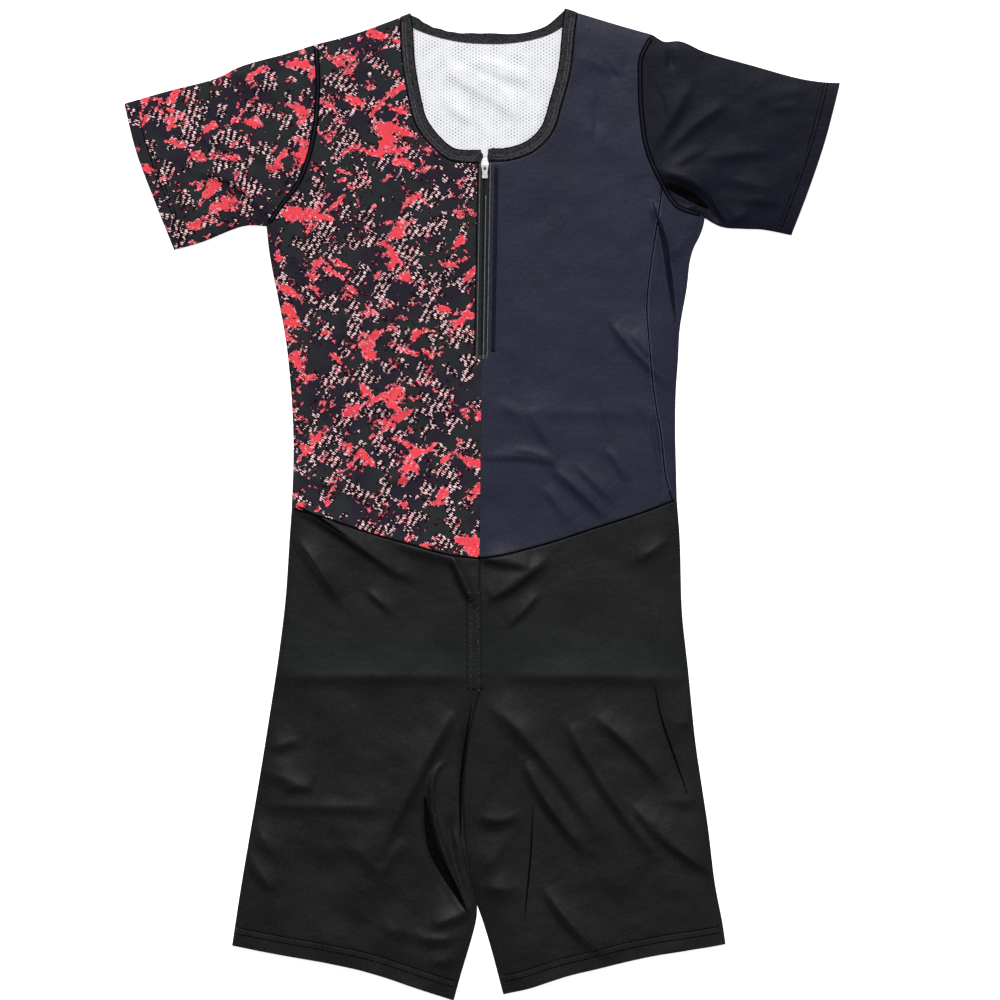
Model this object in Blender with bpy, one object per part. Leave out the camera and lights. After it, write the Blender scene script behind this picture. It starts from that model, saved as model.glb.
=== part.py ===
"""Running speedsuit, laid flat with its front up.

The suit lies in two layers. The back, the lower halves of the sleeves and the backs of
the legs lie flat on the surface. The fronts lie on them, and at every side the cloth turns
over in a small round fold. Left and right in the names are the wearer's: the wearer's
right side is at -X, the neck is towards +Y.

Every panel is a grid stretched between four edge lines, as the middle of its cloth, and
then gets its thickness. Panels that meet share an edge line and the same steps along it,
and each is trimmed back by half a seam gap. Sizes are in millimetres and are turned into
metres when the objects are made.
"""
import math

import bmesh
import bpy
from mathutils import Matrix, Vector

# ---------------------------------------------------------------- driving dimensions, mm
CLOTH = 1.2              # thickness of the knit, seams and turnings included
BINDING = 1.8            # the neck binding is folded double
LAYER_GAP = 1.4          # air between the two layers where they turn over at a side
SEAM_GAP = 0.3           # between two panels sewn edge to edge
SHOULDER_TURN = 6.0      # how far the fronts reach over the shoulder fold to the back
ARM_TURN = 6.0           # the same length, measured down the armhole
CROWN = 0.9              # the upper layer lies this much higher away from the folds
CROWN_REACH = 16.0       # and reaches that height about this far in
MOST_LIFT = 2.3          # keeps the space inside the suit under 4 mm
LEAST_LIFT = -0.7        # keeps the two layers apart
FOLD_STEPS = 3           # flat faces round one side fold
ORIGIN_SHIFT = (2.55, 0.25, 0.0)        # puts the origin under the middle of its box
SHARP_EDGE = math.radians(50)
RELAX_ROUNDS = 12
MM = 0.001

LOWER = CLOTH / 2                       # height of the middle of the lower layer
UPPER = CLOTH + LAYER_GAP + CLOTH / 2   # and of the upper layer at its edges
FOLD_RADIUS = (UPPER - LOWER) / 2

# ---------------------------------------------------------------- outlines, mm (x, y)
# Side lines are the lines where the cloth turns over; it bulges about 1.9 mm past them.
# Wearer's right.
SIDE_R = ((-191.3, -5), (-189.5, 45), (-190, 80), (-192.3, 118), (-197, 163),
          (-204.5, 204), (-211.3, 238), (-215, 262), (-216.5, 279.5))
ARMHOLE_R = ((-216.5, 279.5), (-205.5, 295), (-184.5, 324), (-170.5, 369),
             (-166.5, 424), (-168.5, 458.3))
SHOULDER_R = ((-168.5, 458.3), (-134.5, 467.2), (-97.5, 480.2), (-84.0, 485.3))
SLEEVE_TOP_R = ((-168.5, 458.3), (-197.5, 449.2), (-243.5, 436.2), (-268.5, 424.2),
                (-316.5, 411.5), (-360, 399))
SLEEVE_UNDER_R = ((-216.5, 279.5), (-231, 280.6), (-243, 279.4), (-256, 275), (-284, 263.5),
                  (-311, 256))
CUFF_R = ((-311, 256), (-330, 304), (-348, 352), (-360, 399))
SEAM_R = ((-180, 30), (-176, 75), (-172, 120), (-170, 165), (-172, 205), (-178, 250),
          (-181, 290), (-184.5, 324))
WAIST_R = ((-191.3, -5), (-160.5, -13), (-126.5, -25), (-97.5, -34), (-67.5, -42),
           (-38.5, -50), (-5, -54.2))
LEG_OUT_R = ((-191.3, -5), (-193.5, -36), (-197.5, -95), (-204.5, -153), (-213.5, -212),
             (-220, -253), (-227.5, -298), (-235.8, -346), (-242.8, -388),
             (-251, -442))
LEG_END_R = ((-9.7, -400), (-10.4, -414), (-15.2, -434), (-26.2, -471), (-33, -496))
HEM_R = ((-251, -442), (-198.5, -452), (-156.5, -459), (-115.5, -468.5), (-65.5, -485),
         (-33, -496))
NECK_SEAM_R = ((-6.6, 341.5), (-21.5, 341.5), (-36.8, 344.9), (-52.7, 357.6),
               (-68.9, 379.8), (-76.7, 409.5), (-81.9, 441.6), (-84, 471), (-84, 485.3))
NECK_EDGE_R = ((-6.6, 354), (-20.5, 354), (-31, 356), (-43.5, 366), (-57.5, 385),
               (-64.5, 412), (-69.5, 443), (-71.5, 473), (-73.5, 489.5))
# Wearer's left.
SIDE_L = ((190.8, 4), (189.8, 43), (189.2, 74), (189.8, 113), (192, 145), (193.8, 176),
          (200.8, 217), (204, 244), (207.8, 257), (213.6, 268.5), (217.4, 279),
          (219, 288.8))
ARMHOLE_L = ((219, 288.8), (193.5, 297), (177.5, 320), (162.5, 354), (156.5, 394),
             (155.5, 428), (156.5, 446), (167.5, 468))
SHOULDER_L = ((167.5, 468), (135.5, 477), (92.5, 490))
SLEEVE_TOP_L = ((167.5, 468), (179.5, 461), (195.5, 461.4), (219.5, 451), (269.5, 436.6),
                (315.5, 424), (339.5, 420.4), (355.3, 419.8))
SLEEVE_UNDER_L = ((219, 288.8), (237.5, 279), (259.5, 277), (278.5, 276.2),
                  (307.6, 270.6))
CUFF_L = ((307.6, 270.6), (324.8, 316), (340.8, 364), (355.3, 419.8))
SEAM_L = ((187.5, 2.9), (180.5, 27), (175.5, 70), (171.5, 92), (166.5, 128),
          (163.5, 163), (161.5, 199), (166.5, 247), (171.5, 279), (177.5, 320))
WAIST_L = ((190.8, 4), (187.5, 2.9), (159.5, -8), (113.5, -23), (67.5, -38),
           (21.5, -50), (-5, -54.2))
LEG_OUT_L = ((190.8, 4), (193.8, -36), (196, -108), (202, -165), (209.3, -237),
             (215.5, -280), (222, -323), (229, -380), (236.8, -421), (239.6, -440.5))
LEG_END_L = ((-5.3, -400), (1, -418), (8.8, -444), (21, -490))
HEM_L = ((239.6, -440.5), (200.5, -446.5), (169.5, -451.5), (140.5, -458), (114.5, -464.5),
         (80.5, -472.5), (42, -485), (21, -490))
NECK_SEAM_L = ((6.4, 343), (24, 343.5), (49.1, 352.4), (67.4, 370.9), (77.5, 401),
               (85.8, 432.8), (89.9, 471.7), (92.5, 490))
NECK_EDGE_L = ((6.4, 355.5), (22.5, 356), (42.5, 363), (56.5, 377), (65.5, 404.5),
               (73.5, 435), (77.5, 473), (79.8, 494))
# Middle.
BACK_NECK_SEAM = ((-84.0, 485.3), (-71.5, 477), (-54.5, 470), (-24.5, 463), (14.5, 461),
                  (42.5, 464), (63.5, 470), (76.5, 477), (92.5, 490))
BACK_NECK_EDGE = ((-73.5, 489.5), (-66.5, 486), (-54.5, 479), (-35.5, 473), (2.5, 471),
                  (40.5, 472), (60.5, 478), (79.8, 494))
RISE = ((-5, -54.2), (-4.5, -186))
LEGS_TOUCH = ((-4.5, -186), (-14.5, -226), (-21, -286), (-20.5, -316), (-15.4, -364),
              (-7.5, -400))
WAIST_MIDDLE_SHARE = 0.488              # of the back's waist seam, from the right
SEAM_R_WAIST = 0.0125                   # where the right side seam meets it, under the fold
ZIP_TOP = (-0.1, 341.5)
ZIP_BOTTOM = (-2.9, 143.5)
ZIP_CORNER_R = (-10.1, 147.5)
ZIP_CORNER_L = (3.1, 147.5)
NOTCH_R = ((-3.5, 341.5), (-3.5, 354))     # binding's end beside the zip: seam, free edge
NOTCH_L = ((3.6, 342.8), (3.6, 355.5))

# ---------------------------------------------------------------- largest folds, mm
# A ridge (height over 0) or trough runs from start past bend to end and dies out there.
FOLD_COLUMNS = ("start", "bend", "end", "half_width", "height")
FOLDS = (
    # left side and waist
    ((169, 300), (184, 240), (190, 186), 9, -1.5),
    ((160, 292), (172, 240), (176, 190), 9, 0.7),
    ((190, 256), (200, 270), (207, 284), 9, 1.1),
    ((127, 182), (143, 145), (175, 106), 9, -1.4),
    ((140, 186), (158, 150), (184, 122), 9, 0.8),
    ((74, 26), (98, 6), (126, -18), 9, -1.2),
    ((98, 34), (120, 12), (146, -6), 9, 0.7),
    # printed front
    ((-100, 25), (-78, 30), (-54, 39), 9, -1.1),
    ((-188, 262), (-170, 272), (-150, 268), 9, 0.7),
    # right sleeve
    ((-290, 326), (-236, 312), (-221, 284), 9, -1.5),
    ((-276, 306), (-250, 298), (-234, 288), 9, 0.9),
    ((-296, 384), (-276, 374), (-258, 356), 9, -0.9),
    ((-246, 430), (-232, 418), (-219, 406), 9, -0.9),
    # left sleeve
    ((178, 330), (200, 352), (222, 376), 9, 1.0),
    ((190, 330), (238, 344), (288, 356), 9, 0.9),
    ((180, 318), (204, 312), (230, 306), 9, -1.5),
    ((228, 308), (234, 292), (244, 278), 9, 1.1),
    ((187, 458), (184, 444), (180, 430), 9, -1.0),
    # waist of the shorts
    ((-186, -12), (-112, -56), (-56, -100), 9, -1.4),
    ((-187, -48), (-172, -78), (-152, -108), 9, -1.0),
    ((-2, -58), (18, -64), (38, -66), 9, -1.3),
    ((40, -66), (28, -82), (14, -98), 9, 1.0),
    ((-34, -62), (-24, -76), (-16, -96), 9, -1.2),
    # right leg
    ((-46, -208), (-66, -250), (-90, -306), 12, 1.2),
    ((-58, -296), (-62, -322), (-62, -352), 9, -1.2),
    ((-48, -296), (-40, -345), (-18, -404), 9, 1.3),
    ((-33, -318), (-22, -356), (-12, -398), 9, -1.1),
    ((-218, -250), (-200, -276), (-174, -300), 10, 0.9),
    # left leg
    ((174, -182), (186, -230), (203, -290), 9, -1.3),
    ((84, -216), (140, -270), (208, -350), 11, 1.2),
    ((66, -222), (110, -268), (150, -330), 9, -0.9),
    ((40, -234), (60, -270), (80, -312), 9, -1.0),
    ((51, -298), (44, -360), (38, -424), 9, -1.2),
    # where the suit was folded in its bag
    ((14, 96), (90, 95), (166, 93), 10, 0.5),
    ((-196, -174), (-100, -172), (-24, -174), 12, -0.8),
    ((18, -174), (100, -172), (194, -176), 12, -0.8),
)
FOLD_CHORDS = 8          # straight pieces that stand for one curved fold

# ---------------------------------------------------------------- zip, mm
TAPE = 1.0               # thickness of the woven tape
TAPE_DROP = 0.1          # the tapes' middle lies this much under the fronts' middle
SLIDER_OUTLINE = ((-2.2, 345.0), (2.8, 345.0), (4.6, 340.2), (3.6, 334.5), (-2.8, 334.5),
                  (-3.8, 340.2))
SLIDER_THICK = 1.8
SLIDER_BEVEL = 0.5
HINGE_X, HINGE_Y = 0.4, 338.0
HINGE_RISE = 1.2         # pull tab's axis above the slider's top
BRIDGE_WIDE, BRIDGE_LONG, BRIDGE_HIGH = 2.0, 3.6, 2.5
BRIDGE_HOLE = 0.85
PULL_THICK = 0.8
PULL_TILT = math.radians(9)
PULL_COLUMNS = ((-2.8, -1.35, 1.35, 2.8), (-2.8, -1.35, 1.35, 2.8),
                (-2.9, -1.35, 1.35, 2.9), (-2.5, -0.9, 0.9, 2.5),
                (-2.6, -0.9, 0.9, 2.6), (-3.0, -1.1, 1.1, 3.0), (-2.3, -0.9, 0.9, 2.3))
PULL_ROWS = (0.4, -0.4, -4.4, -6.4, -9.0, -11.4, -12.6)
SLOT_MIDDLE = Vector((0, (PULL_ROWS[1] + PULL_ROWS[2]) / 2, 0))


# ---------------------------------------------------------------- lines in the plane
class Line:
    """A smooth line through points, called with 0 to 1 by its length."""

    def __init__(self, points, rounded=True, dense=24):
        points = [Vector(point) for point in points]
        self.samples = [points[0]]
        self.knots = [0.0]
        lengths = [0.0]
        for index in range(len(points) - 1):
            before = points[max(index - 1, 0)]
            after = points[min(index + 2, len(points) - 1)]
            start, end = points[index], points[index + 1]
            for step in range(1, dense + 1):
                t = step / dense
                point = start.lerp(end, t)
                if rounded and len(points) > 2:
                    point = catmull_rom(before, start, end, after, t)
                lengths.append(lengths[-1] + (point - self.samples[-1]).length)
                self.samples.append(point)
            self.knots.append(lengths[-1])
        self.length = lengths[-1]
        self.at = [length / self.length for length in lengths]
        self.knots = [knot / self.length for knot in self.knots]

    def __call__(self, t):
        t = min(max(t, 0.0), 1.0)
        low, high = 0, len(self.at) - 1
        while high - low > 1:
            middle = (low + high) // 2
            if self.at[middle] <= t:
                low = middle
            else:
                high = middle
        share = (t - self.at[low]) / (self.at[high] - self.at[low])
        return self.samples[low].lerp(self.samples[high], share)

    def normal(self, t, hand):
        """Unit vector square to the line, to its left for hand 1, right for hand -1."""
        along = (self(t + 0.004) - self(t - 0.004)).normalized()
        return Vector((-along.y, along.x)) * hand


def catmull_rom(before, start, end, after, t):
    """Point of the centripetal spline from start to end."""
    knots = [0.0]
    for first, second in ((before, start), (start, end), (end, after)):
        knots.append(knots[-1] + max((second - first).length, 1e-6) ** 0.5)
    if (start - before).length < 1e-6:
        before = start * 2 - end
        knots = [-(knots[2] - knots[1]) + knots[1], knots[1], knots[2], knots[3]]
    if (after - end).length < 1e-6:
        after = end * 2 - start
        knots[3] = knots[2] + (knots[2] - knots[1])
    x = knots[1] + (knots[2] - knots[1]) * t

    def mix(a, b, low, high):
        return a * ((high - x) / (high - low)) + b * ((x - low) / (high - low))

    a1 = mix(before, start, knots[0], knots[1])
    a2 = mix(start, end, knots[1], knots[2])
    a3 = mix(end, after, knots[2], knots[3])
    b1 = mix(a1, a2, knots[0], knots[2])
    b2 = mix(a2, a3, knots[1], knots[3])
    return mix(b1, b2, knots[1], knots[2])


def stretch(line, start, end):
    """The part of a line from start to end, again called with 0 to 1."""
    return lambda t: line(start + (end - start) * t)


def chain(first, second, share):
    """Two lines end to end; the first takes the given share of 0 to 1."""
    def place(t):
        return first(t / share) if t < share - 1e-9 else second((t - share) / (1 - share))
    return place


def straight(start, end):
    """The straight line between two points."""
    start, end = Vector(start), Vector(end)
    return lambda t: start.lerp(end, t)


def shifted(points, x):
    """The same points moved sideways."""
    return [(px + x, py) for px, py in points]


def steps(count, start=0.0, end=1.0):
    """Even steps from start to end, both included."""
    return [start + (end - start) * index / count for index in range(count + 1)]


def coons(bottom, top, left, right):
    """Surface between four edge lines: place(u, v) with u left to right, v bottom to top."""
    def place(u, v):
        across = bottom(u) * (1 - v) + top(u) * v + left(v) * (1 - u) + right(v) * u
        corners = ((bottom(0) * (1 - u) + bottom(1) * u) * (1 - v)
                   + (top(0) * (1 - u) + top(1) * u) * v)
        return across - corners
    return place


def relaxed(us, vs, place):
    """The same grid with its inner points evened out, for a corner that is nearly flat."""
    grid = [[place(u, v) for v in vs] for u in us]
    for _ in range(RELAX_ROUNDS):
        for column in range(1, len(us) - 1):
            for row in range(1, len(vs) - 1):
                grid[column][row] = (grid[column - 1][row] + grid[column + 1][row]
                                     + grid[column][row - 1] + grid[column][row + 1]) / 4
    return lambda u, v: grid[us.index(u)][vs.index(v)]


# ---------------------------------------------------------------- the suit's lines
side_r, side_l = Line(SIDE_R), Line(SIDE_L)
armhole_r, armhole_l = Line(ARMHOLE_R), Line(ARMHOLE_L)
shoulder_r, shoulder_l = Line(SHOULDER_R), Line(SHOULDER_L)
sleeve_top_r, sleeve_top_l = Line(SLEEVE_TOP_R), Line(SLEEVE_TOP_L)
sleeve_under_r, sleeve_under_l = Line(SLEEVE_UNDER_R), Line(SLEEVE_UNDER_L)
seam_l = Line(SEAM_L)
cuff_r, cuff_l = Line(CUFF_R), Line(CUFF_L)
waist_r, waist_l = Line(WAIST_R), Line(WAIST_L)
leg_out_r, leg_out_l = Line(LEG_OUT_R), Line(LEG_OUT_L)
hem_r, hem_l = Line(HEM_R), Line(HEM_L)
neck_seam_r, neck_seam_l = Line(NECK_SEAM_R), Line(NECK_SEAM_L)
neck_edge_r, neck_edge_l = Line(NECK_EDGE_R), Line(NECK_EDGE_L)
back_neck_seam, back_neck_edge = Line(BACK_NECK_SEAM), Line(BACK_NECK_EDGE)


def waist_back(start, end):
    """The back's waist seam between two shares of the suit's width, right to left."""
    first, last = Vector(WAIST_R[0]), Vector(WAIST_L[0])
    return straight(first.lerp(last, start), first.lerp(last, end))


waist_middle_back = waist_back(0, 1)(WAIST_MIDDLE_SHARE)
seam_r = Line((waist_back(0, 1)(SEAM_R_WAIST), *SEAM_R))

LEG_FOLD_ROOM = 2.2      # from the line where the legs touch to each leg's own fold line
leg_touch_r = Line(shifted(LEGS_TOUCH, -LEG_FOLD_ROOM))
leg_touch_l = Line(shifted(LEGS_TOUCH, LEG_FOLD_ROOM))
leg_end_r, leg_end_l = Line(LEG_END_R), Line(LEG_END_L)

RISE_SHARE, TOUCH_SHARE = 0.30, 0.48     # of a leg's rows: down to the crotch, then apart


def leg_inner(touch, end):
    """A leg's inner fold line, from the crotch to the hem."""
    return chain(touch, end, TOUCH_SHARE / (1 - RISE_SHARE))


def leg_middle(top, inner):
    """A leg's edge towards the middle: the rise from top to the crotch, then the fold."""
    crotch = Vector(RISE[1])
    return chain(straight(top, crotch), inner, RISE_SHARE)


# ---------------------------------------------------------------- height of the cloth
def sampled(line, count):
    return [line(t) for t in steps(count)]


SAMPLES_PER_FOLD_LINE = 40
FOLD_LINES = [sampled(line, SAMPLES_PER_FOLD_LINE) for line in (
    side_r, side_l, shoulder_r, shoulder_l, sleeve_top_r, sleeve_top_l, sleeve_under_r,
    sleeve_under_l, leg_out_r, leg_out_l, leg_touch_r, leg_touch_l, leg_end_r, leg_end_l)]


def bend_line(fold):
    """Points along one fold, a quadratic curve through its three named places."""
    start, bend, end = (Vector(fold[FOLD_COLUMNS.index(name)])
                        for name in ("start", "bend", "end"))
    control = bend * 2 - (start + end) / 2
    return [start * (1 - t) ** 2 + control * 2 * t * (1 - t) + end * t ** 2
            for t in steps(FOLD_CHORDS)]


FOLD_PATHS = [bend_line(fold) for fold in FOLDS]


def nearest(path, point):
    """Distance from a point to a line of points, and the share of the line there."""
    best, share = 1e9, 0.0
    for index in range(len(path) - 1):
        start, along = path[index], path[index + 1] - path[index]
        t = min(max((point - start).dot(along) / max(along.length_squared, 1e-9), 0), 1)
        distance = (point - start - along * t).length
        if distance < best:
            best, share = distance, (index + t) / (len(path) - 1)
    return best, share


def lift(point):
    """How far the upper layer stands above its height at the side folds."""
    edge = min(nearest(path, point)[0] for path in FOLD_LINES)
    rise_in = 1 - math.exp(-edge / CROWN_REACH)
    height = CROWN
    for fold, path in zip(FOLDS, FOLD_PATHS):
        row = dict(zip(FOLD_COLUMNS, fold))
        distance, share = nearest(path, point)
        if distance < 3 * row["half_width"]:
            ends = math.sin(math.pi * min(max(share, 0.02), 0.98)) ** 0.6
            height += row["height"] * ends * math.exp(-(distance / row["half_width"]) ** 2)
    return min(max(height * rise_in, LEAST_LIFT), MOST_LIFT)


# Each of these gives a point on the middle of the cloth, and the way through it, outwards.
def on_top(point, extra=0.0):
    """A point of the plane put on the upper layer."""
    return Vector((point.x, point.y, UPPER + lift(point) + extra)), Vector((0, 0, 1))


def below(point, extra=0.0):
    """A point of the plane put on the lower layer."""
    return Vector((point.x, point.y, LOWER + extra)), Vector((0, 0, -1))


def round_fold(point, outward, share, extra=0.0):
    """A point on a side fold: share 0 joins the upper layer and 1 the lower one."""
    angle = math.pi * share
    through = Vector((outward.x * math.sin(angle), outward.y * math.sin(angle),
                      math.cos(angle)))
    raised = extra + lift(point) * (1 + math.cos(angle)) / 2
    middle = Vector((point.x, point.y, (UPPER + LOWER) / 2 + raised))
    return middle + through * FOLD_RADIUS, through


def mitre(first, second):
    """Outward vector at the corner of two fold lines, from their unit normals."""
    return (first + second) / (1 + first.dot(second))


def fold_place(line, hand, at_start=None, at_end=None):
    """place(t, share) round the fold along a line, with its end vectors if given."""
    def place(t, share):
        outward = line.normal(t, hand)
        if t == 0 and at_start is not None:
            outward = at_start
        if t == 1 and at_end is not None:
            outward = at_end
        return round_fold(line(t), outward, share)
    return place


FOLD_SHARES = steps(FOLD_STEPS)


# ---------------------------------------------------------------- mesh helpers
def new_object(name, bm, material):
    """An object from a mesh in millimetres, its origin under the middle of the suit."""
    bmesh.ops.translate(bm, vec=ORIGIN_SHIFT, verts=bm.verts)
    bmesh.ops.scale(bm, vec=(MM, MM, MM), verts=bm.verts)
    mesh = bpy.data.meshes.new(name)
    bm.to_mesh(mesh)
    bm.free()
    mesh.materials.append(material)
    mesh.shade_smooth()
    mesh.set_sharp_from_angle(angle=SHARP_EDGE)
    thing = bpy.data.objects.new(name, mesh)
    bpy.context.scene.collection.objects.link(thing)
    return thing


def add_patch(bm, us, vs, place):
    """A grid with a point for each pair of steps, moved to place(u, v)."""
    through = bm.verts.layers.float_vector["through"]
    columns, rows = len(us) - 1, len(vs) - 1
    grid = bmesh.ops.create_grid(bm, x_segments=columns, y_segments=rows, size=1)
    for vert in grid["verts"]:
        column = round((vert.co.x + 1) / 2 * columns)
        row = round((vert.co.y + 1) / 2 * rows)
        vert.co, vert[through] = place(us[column], vs[row])


def thicken(bm, thickness):
    """Make a closed wall of a sheet, half of it to each side along the way through."""
    through = bm.verts.layers.float_vector["through"]
    copies = bmesh.ops.extrude_face_region(bm, geom=bm.faces[:])["geom"]
    inner = {item for item in copies if isinstance(item, bmesh.types.BMVert)}
    for vert in bm.verts:
        side = -1 if vert in inner else 1
        vert.co += vert[through] * (side * thickness / 2)
    bmesh.ops.recalc_face_normals(bm, faces=bm.faces)


def trim_edges(bm, amount):
    """Move the free edges of a sheet inwards along the sheet."""
    moves = {}
    for edge in bm.edges:
        if not edge.is_boundary:
            continue
        face = edge.link_faces[0]
        middle = (edge.verts[0].co + edge.verts[1].co) / 2
        along = (edge.verts[1].co - edge.verts[0].co).normalized()
        inward = face.normal.cross(along)
        if inward.dot(face.calc_center_median() - middle) < 0:
            inward = -inward
        for vert in edge.verts:
            moves.setdefault(vert, []).append(inward)
    for vert, inwards in moves.items():
        if len(inwards) == 2:
            total = inwards[0] + inwards[1]
            vert.co += total * (amount / max(1 + inwards[0].dot(inwards[1]), 0.3))


def sheet(name, patches, thickness, material):
    """One panel: its grids joined where they meet, trimmed at the seams and thickened."""
    bm = bmesh.new()
    bm.verts.layers.float_vector.new("through")
    for us, vs, place in patches:
        add_patch(bm, us, vs, place)
    bmesh.ops.remove_doubles(bm, verts=bm.verts, dist=0.02)
    bmesh.ops.recalc_face_normals(bm, faces=bm.faces)
    bm.normal_update()
    trim_edges(bm, SEAM_GAP / 2)
    thicken(bm, thickness)
    return new_object(name, bm, material)


def make_material(name, colour, roughness, metallic=0.0):
    material = bpy.data.materials.new(name)
    material.use_nodes = True
    shader = material.node_tree.nodes["Principled BSDF"]
    shader.inputs["Base Color"].default_value = (*colour, 1.0)
    shader.inputs["Roughness"].default_value = roughness
    shader.inputs["Metallic"].default_value = metallic
    return material


def flat_top(place):
    return lambda u, v: on_top(place(u, v))


def flat_below(place):
    return lambda u, v: below(place(u, v))


# ---------------------------------------------------------------- steps along shared lines
ARM_ROWS = 9             # upper layer, along a whole armhole
UNDER_ROWS = 4           # lower layer, along the armhole between its two ends
STRIP_COLUMNS = 2        # across the part of a panel that is turned over a side
FRONT_COLUMNS = 12
ZIP_ROWS = 8             # a front's rows beside the zip, and as many below it
SHOULDER_COLUMNS_BACK = 2
BACK_NECK_COLUMNS = 10
SLEEVE_ROWS = 10
LEG_COLUMNS_BACK = 3
RISE_ROWS, TOUCH_ROWS, LEG_END_ROWS = 7, 10, 6
TAPE_ROWS = 8
JOG_AT, JOG = 0.5, 0.04  # share of a front's rows below the zip's end, and of the rest in it
FRONT_ROWS = steps(ZIP_ROWS, 0, JOG_AT) + [JOG_AT + (1 - JOG_AT) * JOG] \
    + steps(ZIP_ROWS, JOG_AT, 1)[1:]
BACK_SHOULDER = 0.24     # share of the back's width under each shoulder
LEG_ROWS = steps(RISE_ROWS, 0, RISE_SHARE) \
    + steps(TOUCH_ROWS, RISE_SHARE, RISE_SHARE + TOUCH_SHARE)[1:] \
    + steps(LEG_END_ROWS, RISE_SHARE + TOUCH_SHARE, 1)[1:]

arm_top_r = 1 - ARM_TURN / armhole_r.length     # end of the front's turning on the armhole
arm_top_l = 1 - ARM_TURN / armhole_l.length
arm_seam_r = armhole_r.knots[2]                 # where the side seam meets the armhole
arm_seam_l = armhole_l.knots[2]
waist_seam_l = waist_l.knots[1]                 # where the left side seam meets the waist

under_steps_r = steps(STRIP_COLUMNS, 0, arm_seam_r) \
    + steps(UNDER_ROWS, arm_seam_r, arm_top_r)[1:] + [1.0]
under_steps_l = steps(UNDER_ROWS, 0, arm_top_l) + [1.0]
over_steps_r = steps(ARM_ROWS)
over_steps_l = steps(STRIP_COLUMNS, 0, arm_seam_l) + steps(ARM_ROWS, arm_seam_l, 1)[1:]
leg_steps_r = steps(FRONT_COLUMNS)
leg_steps_l = [0.0] + steps(FRONT_COLUMNS, waist_seam_l, 1)

UNDERARM_R = mitre(side_r.normal(1, 1), sleeve_under_r.normal(0, 1))
UNDERARM_L = mitre(side_l.normal(1, -1), sleeve_under_l.normal(0, -1))
TIP_R = mitre(shoulder_r.normal(0, 1), sleeve_top_r.normal(0, -1))
TIP_L = mitre(shoulder_l.normal(0, -1), sleeve_top_l.normal(0, 1))
WAIST_SIDE_R = mitre(side_r.normal(0, 1), leg_out_r.normal(0, -1))
WAIST_SIDE_L = mitre(side_l.normal(0, -1), leg_out_l.normal(0, 1))
NECK_SIDE_R = shoulder_r.normal(1, 1)
NECK_SIDE_L = shoulder_l.normal(1, -1)


# ---------------------------------------------------------------- panels
def zip_edge(corner, neck_corner):
    """A front's middle edge: the middle line, the jog at the zip's end, the tape's edge."""
    upper = chain(straight(ZIP_BOTTOM, corner), straight(corner, neck_corner), JOG)
    return chain(straight(RISE[0], ZIP_BOTTOM), upper, JOG_AT)


def front(name, side, armhole, shoulder, waist, neck_seam, corner, arm_rows, material,
          wrap):
    """One front: body, shoulder part, the turning over the shoulder, and any side wrap."""
    neck_corner = neck_seam(0)
    split = straight(side(1), neck_corner)
    body = coons(waist, split, side, zip_edge(corner, neck_corner))
    yoke = coons(split, shoulder, armhole, neck_seam)
    columns = steps(FRONT_COLUMNS)
    patches = [(columns, FRONT_ROWS, flat_top(body)),
               (columns, arm_rows, flat_top(yoke))]
    return sheet(name, patches + wrap, CLOTH, material)


def shoulder_turn(shoulder, hand, tip, neck_side, armhole_back, neck_back):
    """A front's turning: round the shoulder fold and a little way down the back."""
    columns = steps(FRONT_COLUMNS)
    fold = fold_place(shoulder, hand, tip, neck_side)
    seam_start, seam_end = armhole_back(1), neck_back(1)
    turned = coons(shoulder, straight(seam_start, seam_end), armhole_back, neck_back)
    return [(columns, FOLD_SHARES, fold), (columns, [0.0, 1.0], flat_below(turned))]


def neck_turn(from_right):
    """Where a front's turning meets the back neck, as a share of the back neck seam."""
    share = SHOULDER_TURN / back_neck_seam.length
    return (0.0, share) if from_right else (1.0, 1 - share)


def make_front_print(material):
    start, end = neck_turn(True)
    turning = shoulder_turn(shoulder_r, 1, TIP_R, NECK_SIDE_R,
                            stretch(armhole_r, 1, arm_top_r),
                            stretch(back_neck_seam, start, end))
    side_fold = fold_place(side_r, 1, WAIST_SIDE_R, UNDERARM_R)
    under = coons(waist_back(0, SEAM_R_WAIST), stretch(armhole_r, 0, arm_seam_r),
                  side_r, seam_r)
    wrap = turning + [
        (FRONT_ROWS, FOLD_SHARES, side_fold),
        (steps(STRIP_COLUMNS), FRONT_ROWS, flat_below(under))]
    return front("front_print", side_r, armhole_r, shoulder_r, waist_r, neck_seam_r,
                 ZIP_CORNER_R, over_steps_r, material, wrap)


def make_front_plain(material):
    start, end = neck_turn(False)
    turning = shoulder_turn(shoulder_l, -1, TIP_L, NECK_SIDE_L,
                            stretch(armhole_l, 1, arm_top_l),
                            stretch(back_neck_seam, start, end))
    return front("front_plain", seam_l, stretch(armhole_l, arm_seam_l, 1), shoulder_l,
                 stretch(waist_l, waist_seam_l, 1), neck_seam_l, ZIP_CORNER_L,
                 steps(ARM_ROWS), material, turning)


def back_top(u):
    """The back's upper edge: shoulder seam, neck seam, shoulder seam."""
    first, last = neck_turn(True)[1], neck_turn(False)[1]
    if u < BACK_SHOULDER:
        return straight(armhole_r(arm_top_r), back_neck_seam(first))(u / BACK_SHOULDER)
    if u > 1 - BACK_SHOULDER:
        share = (u - 1 + BACK_SHOULDER) / BACK_SHOULDER
        return straight(back_neck_seam(last), armhole_l(arm_top_l))(share)
    share = (u - BACK_SHOULDER) / (1 - 2 * BACK_SHOULDER)
    return back_neck_seam(first + (last - first) * share)


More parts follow.
